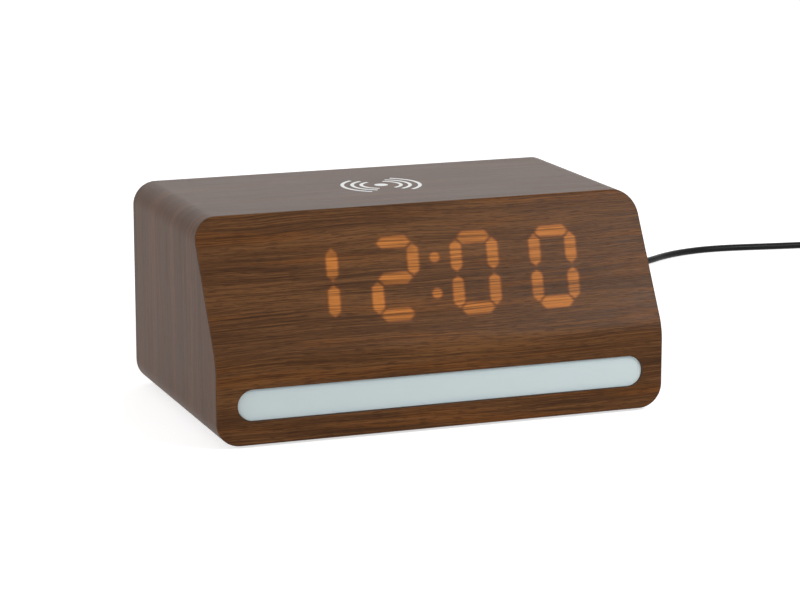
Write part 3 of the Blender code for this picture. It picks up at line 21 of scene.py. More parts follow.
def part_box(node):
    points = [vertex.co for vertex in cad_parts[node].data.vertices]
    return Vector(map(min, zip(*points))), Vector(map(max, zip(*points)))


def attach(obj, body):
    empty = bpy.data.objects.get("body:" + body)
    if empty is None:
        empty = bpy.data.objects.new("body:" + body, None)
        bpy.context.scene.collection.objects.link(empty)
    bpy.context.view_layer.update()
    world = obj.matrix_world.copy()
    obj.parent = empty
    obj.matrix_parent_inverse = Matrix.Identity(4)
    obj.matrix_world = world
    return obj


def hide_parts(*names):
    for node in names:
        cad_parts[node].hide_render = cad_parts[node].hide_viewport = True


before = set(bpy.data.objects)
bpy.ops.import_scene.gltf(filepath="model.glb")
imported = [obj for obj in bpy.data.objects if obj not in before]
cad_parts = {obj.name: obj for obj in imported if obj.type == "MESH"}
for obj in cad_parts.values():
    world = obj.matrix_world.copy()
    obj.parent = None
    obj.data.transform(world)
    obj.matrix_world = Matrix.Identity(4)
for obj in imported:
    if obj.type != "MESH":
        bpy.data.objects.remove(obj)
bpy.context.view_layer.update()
LOG = logging.getLogger("alarm_clock")

MM_PER_M = 1000
# How far a cutter reaches past what it cuts.
OVERRUN = 0.004
# Edges sharper than the first angle stay sharp, and faces within the second are one flat face.
SMOOTH_ANGLE = math.radians(32)
FLAT_ANGLE = math.radians(0.4)
# How far a face may turn away from the front and still carry the front's print.
FRONT_REACH = math.radians(42)
# Points closer than the first are one point, and lengths closer than the second are the same.
WELD = 0.000004
NEAR = 0.00003
FLAT_FACE_WEIGHT = 100
AXIS_BACK = Matrix.Rotation(-math.pi / 2, 4, "X")

GRAIN_MAP = "grain"
GLOW_MAP = "glow"
# The levels that nearly all of a noise lies between.
MOST_NOISE = (0.3, 0.7)

FEET = 4
COVER_SCREWS = 4
TRAY_SCREWS = 2
KEYS = ("mode", "alarm", "up", "down", "light")
LEADS = ("display_lead", "lamp_lead", "charger_lead")

Test = Callable[[Vector, Vector], bool]
Source = bpy.types.NodeSocket | float | Sequence[float]


class Body(Enum):
    """The rigid bodies that pieces ride on."""

    CASE = "case"
    LID = "battery_lid"
    MODE_KEY = "mode_key"
    ALARM_KEY = "alarm_key"
    UP_KEY = "up_key"
    DOWN_KEY = "down_key"
    LIGHT_KEY = "light_key"


class Join(Enum):
    """What a second solid does to the first."""

    CUT = "DIFFERENCE"
    ADD = "UNION"


class Pick(Enum):
    """The kind of element that is selected in edit mode."""

    FACE = "FACE"
    EDGE = "EDGE"


# Modelling by hand, in code


def start_new() -> None:
    """Leaves nothing selected, so that only the next primitive is."""
    bpy.ops.object.select_all(action="DESELECT")


def activate(piece: bpy.types.Object) -> None:
    """Makes a piece the only selected one.

    Args:
        piece: the piece that the next operators act on.
    """
    start_new()
    piece.select_set(True)
    bpy.context.view_layer.objects.active = piece


def settle(name: str) -> bpy.types.Object:
    """Names the newest primitive and puts its place into its mesh.

    Args:
        name: the piece's name.

    Returns:
        The primitive, with its object at the origin.
    """
    piece = bpy.context.active_object
    piece.name = piece.data.name = name
    bpy.ops.object.transform_apply(location=True, rotation=True, scale=True)
    return piece


def moved(piece: bpy.types.Object, place: Matrix) -> bpy.types.Object:
    """Turns and moves a piece's mesh, leaving its object at the origin.

    Args:
        piece: a settled piece.
        place: where its own frame goes.

    Returns:
        The same piece.
    """
    activate(piece)
    piece.matrix_world = place
    bpy.ops.object.transform_apply(location=True, rotation=True, scale=True)
    return piece


def copied(piece: bpy.types.Object, name: str, shift: Vector) -> bpy.types.Object:
    """Copies a piece that repeats, with a mesh of its own.

    Args:
        piece: the piece to copy.
        name: the copy's name.
        shift: how far the copy lies from it.

    Returns:
        The copy, with its object at the origin.
    """
    twin = piece.copy()
    twin.data = piece.data.copy()
    twin.name = twin.data.name = name
    bpy.context.scene.collection.objects.link(twin)
    return moved(twin, Matrix.Translation(shift))


@contextmanager
def editing(piece: bpy.types.Object, kind: Pick) -> Iterator[None]:
    """Edit mode on one piece, entered with nothing selected.

    Args:
        piece: the piece to edit.
        kind: the element that selections are made of.
    """
    activate(piece)
    bpy.ops.object.mode_set(mode="EDIT")
    bpy.ops.mesh.select_mode(type=kind.value)
    bpy.ops.mesh.select_all(action="DESELECT")
    try:
        yield
    finally:
        bpy.ops.object.mode_set(mode="OBJECT")


def pick_faces(piece: bpy.types.Object, wanted: Test) -> int:
    """Selects faces by their place and normal, in edit mode.

    Args:
        piece: the piece being edited.
        wanted: given a face's centre and normal, whether to select it.

    Returns:
        How many faces are selected.
    """
    shape = bmesh.from_edit_mesh(piece.data)
    for face in shape.faces:
        face.select_set(wanted(face.calc_center_median(), face.normal))
    bmesh.update_edit_mesh(piece.data)
    return sum(face.select for face in shape.faces)


def pick_edges(piece: bpy.types.Object, wanted: Test, least_angle: float = 0.0, least_faces: int = 2) -> int:
    """Selects edges by their ends, in edit mode.

    Args:
        piece: the piece being edited.
        wanted: given an edge's two ends, whether to select it.
        least_angle: the least angle between the edge's two faces.
        least_faces: the least number of faces that share the edge.

    Returns:
        How many edges are selected.
    """
    shape = bmesh.from_edit_mesh(piece.data)
    for edge in shape.edges:
        bent = edge.calc_face_angle(0.0) >= least_angle and len(edge.link_faces) >= least_faces
        edge.select_set(bent and wanted(edge.verts[0].co, edge.verts[1].co))
    bmesh.update_edit_mesh(piece.data)
    return sum(edge.select for edge in shape.edges)


def apply(piece: bpy.types.Object, kind: str, **settings: object) -> None:
    """Adds a modifier with its settings and applies it.

    Args:
        piece: the piece to change.
        kind: the modifier's type.
        settings: the modifier's own properties.
    """
    activate(piece)
    modifier = piece.modifiers.new(kind.lower(), kind)
    for key, value in settings.items():
        setattr(modifier, key, value)
    bpy.ops.object.modifier_apply(modifier=modifier.name)


def join(piece: bpy.types.Object, how: Join, *tools: bpy.types.Object) -> bpy.types.Object:
    """Cuts or adds to a piece with other solids, which this uses up.

    Args:
        piece: the solid that stays.
        how: what the tools do to it.
        tools: the other solids.

    Returns:
        The changed piece.
    """
    for tool in tools:
        apply(piece, "BOOLEAN", operation=how.value, object=tool, solver="EXACT")
        bpy.data.objects.remove(tool, do_unlink=True)
    return piece


def soften(piece: bpy.types.Object, width: float, wanted: Test, segments: int = 3) -> bpy.types.Object:
    """Rounds the sharp edges that a test picks.

    Args:
        piece: the piece to change.
        width: how far the rounding reaches from each edge.
        wanted: given an edge's two ends, whether to round it.
        segments: how many strips the rounding has.

    Returns:
        The changed piece.
    """
    with editing(piece, Pick.EDGE):
        if pick_edges(piece, wanted, SMOOTH_ANGLE):
            bpy.ops.mesh.bevel(offset=width, segments=segments, profile=0.5, affect="EDGES", clamp_overlap=True)
    return piece


def smooth(piece: bpy.types.Object) -> bpy.types.Object:
    """Shades a piece smooth between its sharp edges, with flat faces kept flat.

    Args:
        piece: a piece whose shape is finished.

    Returns:
        The same piece.
    """
    activate(piece)
    bpy.ops.object.shade_smooth_by_angle(angle=SMOOTH_ANGLE)
    apply(piece, "WEIGHTED_NORMAL", keep_sharp=True, weight=FLAT_FACE_WEIGHT)
    return piece


def rounded_block(
    name: str, low: Sequence[float], high: Sequence[float], radius: float, axis: int = 1, segments: int = 14
) -> bpy.types.Object:
    """A block whose four edges along one axis are rounded.

    Args:
        name: the piece's name.
        low: its lowest corner.
        high: its highest corner.
        radius: the radius of the rounded edges, or zero.
        axis: the axis that the rounded edges follow.
        segments: how many strips each rounding has.

    Returns:
        The block.
    """
    low, high = Vector(low), Vector(high)
    start_new()
    bpy.ops.mesh.primitive_cube_add(size=1, location=(low + high) / 2, scale=high - low)
    piece = settle(name)
    if radius:
        across = min((high - low)[other] for other in range(3) if other != axis)
        with editing(piece, Pick.EDGE):
            pick_edges(piece, lambda start, end: abs((end - start)[axis]) > abs((end - start).length) / 2)
            bpy.ops.mesh.bevel(
                offset=min(radius, across / 2 - NEAR), segments=segments, profile=0.5, affect="EDGES"
            )
    return piece


def turned(
    name: str, stations: Sequence[tuple[float, float]], place: Matrix, sides: int = 48
) -> bpy.types.Object:
    """A round solid, drawn up from a disc by extruding and scaling its end face.

    Args:
        name: the piece's name.
        stations: radii and heights, from the first end to the last.
        place: where the solid's axis goes: its heights run along local Z.
        sides: how many sides its rounds have.

    Returns:
        The solid.
    """
    radius, height = stations[0]
    start_new()
    bpy.ops.mesh.primitive_circle_add(vertices=sides, radius=radius, fill_type="NGON", location=(0, 0, height))
    piece = settle(name)
    with editing(piece, Pick.FACE):
        bpy.ops.mesh.select_all(action="SELECT")
        for (radius, height), (next_radius, next_height) in pairwise(stations):
            share = next_radius / radius
            bpy.ops.mesh.extrude_region_move(TRANSFORM_OT_translate={"value": (0, 0, next_height - height)})
            bpy.ops.transform.resize(value=(share, share, 1), center_override=(0, 0, next_height))
        bpy.ops.mesh.select_all(action="SELECT")
        bpy.ops.mesh.normals_make_consistent(inside=False)
    return moved(piece, place)


def rounded_over(radius: float, end: float, edge: float) -> list[tuple[float, float]]:
    """Stations that round a turned solid's edge over.

    Args:
        radius: the solid's radius.
        end: the height of its end.
        edge: how far the rounding reaches.

    Returns:
        Radii and heights, from the flank to the end.
    """
    bulge = edge / 3
    return [(radius, end - edge), (radius - bulge, end - bulge), (radius - edge, end)]


def refined(node: str, name: str) -> bpy.types.Object:
    """A copy of a CAD node with its loose triangles merged into whole faces.

    Args:
        node: the node to copy.
        name: the new piece's name.

    Returns:
        The copy, at the same place.
    """
    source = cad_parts[node]
    piece = bpy.data.objects.new(name, source.data.copy())
    piece.data.name = name
    bpy.context.scene.collection.objects.link(piece)
    piece.data.materials.clear()
    with editing(piece, Pick.FACE):
        bpy.ops.mesh.customdata_custom_splitnormals_clear()
        bpy.ops.mesh.select_all(action="SELECT")
        bpy.ops.mesh.remove_doubles(threshold=WELD)
        bpy.ops.mesh.dissolve_limited(angle_limit=FLAT_ANGLE)
    return piece


# Finishes


def linear(colour: str) -> tuple[float, float, float, float]:
    """Turns an sRGB hex colour into the linear one that shaders take.

    Args:
        colour: six hex digits after a hash sign.

    Returns:
        Linear red, green, blue and an alpha of one.
    """
    parts = [int(colour[index:index + 2], 16) / 255 for index in (1, 3, 5)]
    return (*(part / 12.92 if part <= 0.04045 else ((part + 0.055) / 1.055) ** 2.4 for part in parts), 1.0)


def add_node(
    tree: bpy.types.NodeTree, kind: str, links: dict[int | str, Source] | None = None, **settings: object
) -> bpy.types.Node:
    """Adds a node to a material, with its settings and what feeds its inputs.

    Args:
        tree: the material's nodes.
        kind: the node's type, without the words that all shader nodes start with.
        links: by an input's name or number, another node's output or a plain value.
        settings: the node's own properties.

    Returns:
        The new node.
    """
    made = tree.nodes.new("ShaderNode" + kind)
    for key, value in settings.items():
        setattr(made, key, value)
    for socket, source in (links or {}).items():
        if isinstance(source, bpy.types.NodeSocket):
            tree.links.new(source, made.inputs[socket])
        else:
            made.inputs[socket].default_value = source
    return made


@dataclass(frozen=True)
class Finish:
    """What every finish has: its own name and the record's slot that it belongs to."""

    name: str
    slot: str

    def material(self) -> bpy.types.Material:
        """The finish as a material, made once and then shared."""
        return bpy.data.materials.get(self.name) or self.build()

    def build(self) -> bpy.types.Material:
        """Makes the material; each kind of finish has its own way."""
        raise NotImplementedError

    def start(self) -> tuple[bpy.types.Material, bpy.types.NodeTree, bpy.types.Node]:
        """Starts the material.

        Returns:
            The new material, its nodes and its Principled shader.
        """
        material = bpy.data.materials.new(self.name)
        material.use_nodes = True
        return material, material.node_tree, material.node_tree.nodes["Principled BSDF"]


class Tint(Enum):
    """The browns that the print lays over its middle one."""

    DARK = "dark"
    LIGHT = "light"
    WARM = "warm"


@dataclass(frozen=True)
class Figure:
    """Noise drawn out along the grain: its cell's size, its place in the noise and how many octaves it has."""

    length_mm: float
    width_mm: float
    place: float
    octaves: float


@dataclass(frozen=True)
class Pass:
    """One pass of the print: it starts at one level of a figure's noise and covers most at another."""

    figure: Figure
    start: float
    most: float
    tint: Tint
    cover: float


WANDER = Figure(95.0, 30.0, 3.1, 2.0)
BAND = Figure(170.0, 13.0, 11.7, 2.0)
WARMTH = Figure(85.0, 6.5, 27.3, 2.0)
STREAK = Figure(110.0, 1.5, 41.9, 3.0)
# Walnut's fibres are under 0.1 mm wide and its pores 0.2 mm by 1 to 3 mm: both are drawn coarser, so that they show.
FIBRE = Figure(42.0, 0.5, 57.2, 2.0)
PORE = Figure(6.5, 0.32, 73.8, 1.0)
PRINT_PASSES = (
    Pass(BAND, 0.44, 0.30, Tint.DARK, 0.46),
    Pass(BAND, 0.52, 0.70, Tint.LIGHT, 0.52),
    Pass(WARMTH, 0.52, 0.68, Tint.WARM, 0.36),
    Pass(STREAK, 0.47, 0.26, Tint.DARK, 0.55),
    Pass(STREAK, 0.54, 0.76, Tint.LIGHT, 0.45),
    Pass(FIBRE, 0.48, 0.30, Tint.DARK, 0.62),
    Pass(FIBRE, 0.55, 0.72, Tint.LIGHT, 0.60),
    Pass(PORE, 0.55, 0.64, Tint.DARK, 0.55),
)


@dataclass(frozen=True)
class WalnutFoil(Finish):
    """Printed walnut foil over board: rotary-printed grain under a satin lacquer.

    The print gives long streaks of a few browns, the embossed pores give short dark dashes, and the lacquer gives
    the broad grey veil that the foil has when it is seen at a low angle.
    """

    dark: str
    mid: str
    light: str
    warm: str
    roughness: float = 0.46
    gloss_change: float = 0.05
    octave_share: float = 0.55
    wander_height_mm: float = 4.5
    emboss_mm: float = 0.04
    ior: float = 1.2
    contrast: float = 1.0
    seed: float = 0.0
    lit: bool = False
    glow: str = "#a26024"
    fringe: str = "#6e2c10"
    glow_grain: tuple[float, float] = (0.75, 1.25)
    glow_levels: tuple[float, float] = (0.26, 1.34)

    def grain(
        self, tree: bpy.types.NodeTree, where: bpy.types.NodeSocket, figure: Figure
    ) -> bpy.types.NodeSocket:
        """Draws a figure's noise on the foil.

        Args:
            tree: the material's nodes.
            where: the place on the foil in millimetres, along the grain and across it.
            figure: the noise's sizes.

        Returns:
            A value around a half.
        """
        place, scale = self.seed + figure.place, (1 / figure.length_mm, 1 / figure.width_mm, 1)
        drawn = add_node(tree, "Mapping", {"Vector": where, "Location": (place, place / 3, 0), "Scale": scale})
        noise = {
            "Vector": drawn.outputs[0], "Scale": 1.0, "Detail": figure.octaves, "Roughness": self.octave_share,
        }
        return add_node(tree, "TexNoise", noise, noise_dimensions="2D").outputs["Fac"]

    def build(self) -> bpy.types.Material:
        """Draws the print along the piece's grain map.

        Returns:
            The foil's material.
        """
        material, tree, shader = self.start()
        flat = add_node(tree, "UVMap", uv_map=GRAIN_MAP).outputs[0]
        plain = add_node(tree, "VectorMath", {0: flat, "Scale": MM_PER_M}, operation="SCALE").outputs[0]
        wander = self.grain(tree, plain, WANDER)
        half = self.wander_height_mm / 2
        rise = add_node(
            tree, "MapRange", {"Value": wander, "From Min": 0.0, "From Max": 1.0, "To Min": -half, "To Max": half}
        )
        shift = add_node(tree, "CombineXYZ", {"Y": rise.outputs[0]})
        where = add_node(tree, "VectorMath", {0: plain, 1: shift.outputs[0]}, operation="ADD").outputs[0]
        drawn = {figure: self.grain(tree, where, figure) for figure in (BAND, WARMTH, STREAK, FIBRE, PORE)}
        tints = {Tint.DARK: self.dark, Tint.LIGHT: self.light, Tint.WARM: self.warm}
        colour = linear(self.mid)
        for layer in PRINT_PASSES:
            share = add_node(
                tree, "MapRange",
                {"Value": drawn[layer.figure], "From Min": layer.start, "From Max": layer.most, "To Min": 0.0,
                 "To Max": layer.cover * self.contrast},
                interpolation_type="SMOOTHSTEP",
            )
            tint = linear(tints[layer.tint])
            mix = add_node(tree, "MixRGB", {"Fac": share.outputs[0], "Color1": colour, "Color2": tint})
            colour = mix.outputs[0]
        tree.links.new(colour, shader.inputs["Base Color"])
        low, high = MOST_NOISE
        gloss = add_node(
            tree, "MapRange",
            {"Value": drawn[FIBRE], "From Min": low, "From Max": high, "To Min": self.roughness - self.gloss_change,
             "To Max": self.roughness + self.gloss_change},
        )
        tree.links.new(gloss.outputs[0], shader.inputs["Roughness"])
        relief = add_node(tree, "Math", {0: drawn[FIBRE], 1: drawn[PORE]}, operation="SUBTRACT")
        bump = add_node(
            tree, "Bump", {"Height": relief.outputs[0], "Distance": self.emboss_mm / MM_PER_M, "Strength": 1.0}
        )
        tree.links.new(bump.outputs[0], shader.inputs["Normal"])
        shader.inputs["IOR"].default_value = self.ior
        if self.lit:
            self.light_up(tree, shader, drawn[STREAK], drawn[FIBRE])
        return material

    def light_up(
        self, tree: bpy.types.NodeTree, shader: bpy.types.Node, streak: bpy.types.NodeSocket,
        fibre: bpy.types.NodeSocket,
    ) -> None:
        """Adds the digits' light, which the grain dims unevenly on its way through.

        Args:
            tree: the material's nodes.
            shader: its Principled shader.
            streak: the long streaks of the print.
            fibre: its fine lines.
        """
        glow = add_node(tree, "Attribute", attribute_name=GLOW_MAP).outputs["Fac"]
        grain = add_node(tree, "Math", {0: streak, 1: fibre}, operation="ADD").outputs[0]
        (least, most), (dimmest, brightest) = self.glow_grain, self.glow_levels
        through = add_node(
            tree, "MapRange",
            {"Value": grain, "From Min": least, "From Max": most, "To Min": dimmest, "To Max": brightest},
        )
        lit = add_node(tree, "Math", {0: glow, 1: through.outputs[0]}, operation="MULTIPLY")
        tint = add_node(tree, "MixRGB", {"Fac": glow, "Color1": linear(self.fringe), "Color2": linear(self.glow)})
        light = add_node(tree, "MixRGB", {"Fac": lit.outputs[0], "Color1": (0, 0, 0, 1), "Color2": tint.outputs[0]})
        tree.links.new(light.outputs[0], shader.inputs["Emission Color"])
        shader.inputs["Emission Strength"].default_value = 1.0


@dataclass(frozen=True)
class Moulding(Finish):
    """A moulded or pressed material with a fine even texture, such as spark-eroded ABS, rubber or ferrite.

    The texture breaks the gloss into a soft sheen, and slow changes in tone keep large faces from looking flat. Its
    real tooth is about 0.05 to 0.1 mm: each grain is drawn coarser than that, so that it shows.
    """

    colour: str
    shade: str
    roughness: float
    grain_mm: float
    depth_mm: float
    specular: float = 0.3
    sheen: float = 0.0
    cloud_mm: float = 22.0
    shade_levels: tuple[float, float] = (0.12, 0.38)
    gloss_change: float = 0.06

    def build(self) -> bpy.types.Material:
        """Draws the texture on the piece's own coordinates.

        Returns:
            The moulding's material.
        """
        material, tree, shader = self.start()
        where = add_node(tree, "TexCoord").outputs["Object"]
        fine = add_node(tree, "TexNoise", {"Vector": where, "Scale": MM_PER_M / self.grain_mm, "Detail": 2.0})
        slow = add_node(tree, "TexNoise", {"Vector": where, "Scale": MM_PER_M / self.cloud_mm, "Detail": 3.0})
        both = add_node(tree, "Math", {0: fine.outputs[0], 1: slow.outputs[0]}, operation="MULTIPLY")
        dark, light = self.shade_levels
        share = add_node(tree, "MapRange", {"Value": both.outputs[0], "From Min": dark, "From Max": light})
        mix = add_node(
            tree, "MixRGB",
            {"Fac": share.outputs[0], "Color1": linear(self.shade), "Color2": linear(self.colour)},
        )
        tree.links.new(mix.outputs[0], shader.inputs["Base Color"])
        low, high = MOST_NOISE
        gloss = add_node(
            tree, "MapRange",
            {"Value": slow.outputs[0], "From Min": low, "From Max": high, "To Min": self.roughness - self.gloss_change,
             "To Max": self.roughness + self.gloss_change},
        )
        tree.links.new(gloss.outputs[0], shader.inputs["Roughness"])
        bump = add_node(
            tree, "Bump", {"Height": fine.outputs[0], "Distance": self.depth_mm / MM_PER_M, "Strength": 1.0}
        )
        tree.links.new(bump.outputs[0], shader.inputs["Normal"])
        shader.inputs["Specular IOR Level"].default_value = self.specular
        shader.inputs["Sheen Weight"].default_value = self.sheen
        return material


@dataclass(frozen=True)
class Acrylic(Finish):
    """Cast acrylic: clear or milky, polished or satin, sometimes lit from behind.

    A milky sheet scatters light inside. Its rim, by height, is painted a little bluer and darker than its middle:
    painted shade along its edges.
    """

    colour: str = "#c3cfd0"
    # rim: the painted shade of the sheet's top and bottom edges, darker and bluer than its middle.
    rim: str = "#b1c3ca"
    roughness: float = 0.32
    scatter: float = 0.25
    glow: float = 0.0
    middle_z: float = 0.0
    half_height: float = 0.006
    cloud_mm: float = 18.0
    ior: float = 1.49
    scatter_depth: float = 0.002
    scatter_shares: tuple[float, float, float] = (0.9, 1.0, 1.1)

    def build(self) -> bpy.types.Material:
        """Paints the sheet's rim darker and bluer than its middle, by height: painted shade.

        Returns:
            The acrylic's material.
        """
        material, tree, shader = self.start()
        where = add_node(tree, "TexCoord").outputs["Object"]
        height = add_node(tree, "SeparateXYZ", {0: where}).outputs["Z"]
        off = add_node(tree, "Math", {0: height, 1: self.middle_z}, operation="SUBTRACT")
        distance = add_node(tree, "Math", {0: off.outputs[0]}, operation="ABSOLUTE")
        # The painted shade: by height, towards the rim the colour turns to the darker, bluer rim colour.
        edge = add_node(
            tree, "MapRange",
            {"Value": distance.outputs[0], "From Min": self.half_height / 2, "From Max": self.half_height},
            interpolation_type="SMOOTHSTEP",
        )
        cloud = add_node(tree, "TexNoise", {"Vector": where, "Scale": MM_PER_M / self.cloud_mm, "Detail": 2.0})
        share = add_node(tree, "Math", {0: edge.outputs[0], 1: cloud.outputs[0]}, operation="MULTIPLY")
        mix = add_node(
            tree, "MixRGB", {"Fac": share.outputs[0], "Color1": linear(self.colour), "Color2": linear(self.rim)}
        )
        tree.links.new(mix.outputs[0], shader.inputs["Base Color"])
        shader.inputs["Roughness"].default_value = self.roughness
        shader.inputs["IOR"].default_value = self.ior
        shader.inputs["Subsurface Weight"].default_value = self.scatter
        shader.inputs["Subsurface Radius"].default_value = self.scatter_shares
        shader.inputs["Subsurface Scale"].default_value = self.scatter_depth
        shader.inputs["Emission Color"].default_value = linear(self.colour)
        shader.inputs["Emission Strength"].default_value = self.glow
        return material


@dataclass(frozen=True)
class Metal(Finish):
    """Plated or drawn metal: bright, with the faint streaks of its last working and small changes in gloss.

    Real drawing lines are some 0.02 mm apart: they are drawn coarser, so that they show.
    """

    colour: str = "#c9c8c4"
    shade: str = "#a3a29e"
    roughness: float = 0.24
    streak_mm: tuple[float, float, float] = (0.15, 2.5, 0.15)
    polish: float = 0.015
    dulling: float = 0.02
    varnish: float = 0.0

    def build(self) -> bpy.types.Material:
        """Draws the streaks along the piece's own axes.

        Returns:
            The metal's material.
        """
        material, tree, shader = self.start()
        where = add_node(tree, "TexCoord").outputs["Object"]
        scale = tuple(MM_PER_M / size for size in self.streak_mm)
        drawn = add_node(tree, "Mapping", {"Vector": where, "Scale": scale})
        noise = add_node(tree, "TexNoise", {"Vector": drawn.outputs[0], "Scale": 1.0, "Detail": 3.0})
        mix = add_node(
            tree, "MixRGB",
            {"Fac": noise.outputs[0], "Color1": linear(self.shade), "Color2": linear(self.colour)},
        )
        tree.links.new(mix.outputs[0], shader.inputs["Base Color"])
        low, high = MOST_NOISE
        gloss = add_node(
            tree, "MapRange",
            {"Value": noise.outputs[0], "From Min": low, "From Max": high, "To Min": self.roughness - self.polish,
             "To Max": self.roughness + self.dulling},
        )
        tree.links.new(gloss.outputs[0], shader.inputs["Roughness"])
        shader.inputs["Metallic"].default_value = 1.0
        shader.inputs["Coat Weight"].default_value = self.varnish
        return material


@dataclass(frozen=True)
class CircuitBoard(Finish):
    """Glass laminate under green solder mask: tracks show as lighter lines, and solder pads as bright dots.

    Tracks on such a board are 0.3 to 1 mm apart: they are drawn coarser, so that they show. Pads are at their pitch.
    """

    mask: str = "#0f4a26"
    track: str = "#1f6b3a"
    pad: str = "#b9b7ae"
    track_mm: float = 2.0
    track_edge: tuple[float, float] = (0.10, 0.06)
    track_disorder: float = 0.6
    pad_mm: float = 2.54
    pad_edge: tuple[float, float] = (0.20, 0.16)
    roughness: float = 0.35

    def build(self) -> bpy.types.Material:
        """Draws the tracks and the pads on the board.

        Returns:
            The board's material.
        """
        material, tree, shader = self.start()
        where = add_node(tree, "TexCoord").outputs["Object"]
        cells = add_node(
            tree, "TexVoronoi",
            {"Vector": where, "Scale": MM_PER_M / self.track_mm, "Randomness": self.track_disorder},
            feature="DISTANCE_TO_EDGE",
        )
        outer, inner = self.track_edge
        line = add_node(
            tree, "MapRange", {"Value": cells.outputs["Distance"], "From Min": outer, "From Max": inner}
        )
        copper = add_node(
            tree, "MixRGB", {"Fac": line.outputs[0], "Color1": linear(self.mask), "Color2": linear(self.track)}
        )
        dots = add_node(tree, "TexVoronoi", {"Vector": where, "Scale": MM_PER_M / self.pad_mm, "Randomness": 0.0})
        outer, inner = self.pad_edge
        spot = add_node(
            tree, "MapRange", {"Value": dots.outputs["Distance"], "From Min": outer, "From Max": inner}
        )
        solder = add_node(
            tree, "MixRGB", {"Fac": spot.outputs[0], "Color1": copper.outputs[0], "Color2": linear(self.pad)}
        )
        tree.links.new(solder.outputs[0], shader.inputs["Base Color"])
        tree.links.new(spot.outputs[0], shader.inputs["Metallic"])
        shader.inputs["Roughness"].default_value = self.roughness
        return material


# The sides and roof: the front's print in darker, greyer browns with a weaker grain, which is painted shade and a
# painted grey sheen for how these faces are lit.
SHADED_SIDE_FOIL = WalnutFoil(
    "printed_walnut_foil_shaded_sides", "walnut_wrap", dark="#35241a", mid="#4d3526", light="#5f4532", warm="#67422a",
    contrast=0.75, seed=4.0,
)
# The same print with a thinner lacquer: deep brown on the left, a soft grey bloom on the right, amber where lit.
FACE_FOIL = WalnutFoil(
    "printed_walnut_foil_over_lamps", "walnut_wrap", dark="#341e0e", mid="#55361d", light="#744d2c", warm="#7b481a",
    roughness=0.36, ior=1.18, seed=68.0, lit=True,
)
# Sawn and stained fibreboard: dry, fuzzy and without shine, so the open edges read as the core of the case.
FIBREBOARD = Moulding("pressed_fibreboard_stained", "walnut_wrap", "#5b3d27", "#452c1a", 0.8, 0.6, 0.05)
# Spark-eroded mould: a fine even tooth that spreads the highlight into a dull charcoal sheen.
ABS = Moulding("spark_textured_black_abs", "black_plastic", "#1f1f20", "#171718", 0.52, 0.35, 0.018)
# Polished mould: keys catch a clean bright rim that sets them off from the textured cover.
GLOSS_ABS = Moulding("polished_black_abs", "black_plastic", "#1a1a1b", "#151516", 0.28, 0.8, 0.003)
# White moulding inside the clock: chalky and bright, so wells and trough throw light forwards.
WHITE_ABS = Moulding("moulded_white_abs", "white_plastic", "#e4e4e0", "#d6d6d1", 0.5, 0.4, 0.01)
# Extruded vinyl: near black, with one long soft highlight along the cord.
VINYL = Moulding("extruded_black_vinyl", "black_vinyl", "#0d0d0e", "#09090a", 0.36, 0.5, 0.006, 0.16)
# Nitrile rubber: grippy, dusty black whose edges pale slightly.
RUBBER = Moulding("moulded_nitrile_rubber", "black_rubber", "#242425", "#19191a", 0.82, 0.25, 0.03, 0.3, 0.1)
# Sintered ferrite: dark slate with a faint stony glint.
FERRITE = Moulding("sintered_ferrite", "ferrite", "#35353a", "#2a2a2e", 0.6, 0.3, 0.02)
# Screen-printed ink: a flat, opaque white film that stays crisp on the brown roof.
SCREEN_INK = Moulding("screen_printed_white_ink", "white_plastic", "#f2f3f3", "#e6e8e8", 0.55, 0.3, 0.004)
# Tinted acrylic over lamps: an even amber glow without a visible source; its darker amber is the rim's painted shade.
LIT_ACRYLIC = Acrylic("amber_lit_acrylic", "lit_amber_acrylic", "#d98a3c", "#c97a30", 0.4, 0.3, 0.6)
# Nickel plate: cool silver, a little blurred, with faint rolling streaks.
NICKEL = Metal("nickel_plated_steel", "nickel_steel")
# Gold flash: small warm yellow glints in the plug's mouth.
GOLD = Metal("gold_flashed_contacts", "nickel_steel", "#d8b25a", "#c19a45", 0.2)
# Enamelled wire: orange copper under a clear glossy skin.
COPPER = Metal("enamelled_copper_wire", "enamelled_copper", "#c1703c", "#9c5528", 0.25, varnish=0.8)
# Solder mask on laminate: glassy deep green with paler tracks and tin-bright pads.
BOARD = CircuitBoard("green_solder_mask_laminate", "circuit_board")


def dress(
    piece: bpy.types.Object, finish: Finish, body: Body = Body.CASE, stands_for: Sequence[str] = ()
) -> bpy.types.Object:
    """Gives a finished piece its material, its body and the nodes it stands for.

    Args:
        piece: the piece.
        finish: what it is made of.
        body: the body that it rides on.
        stands_for: the CAD nodes that it replaces.

    Returns:
        The same piece.
    """
    piece.data.materials.clear()
    piece.data.materials.append(finish.material())
    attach(piece, body.value)
    if stands_for:
        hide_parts(*stands_for)
    LOG.info("%s: %s, rides on %s", piece.name, finish.name, body.value)
    return piece


# The clock's outer shape, which several sub-assemblies share


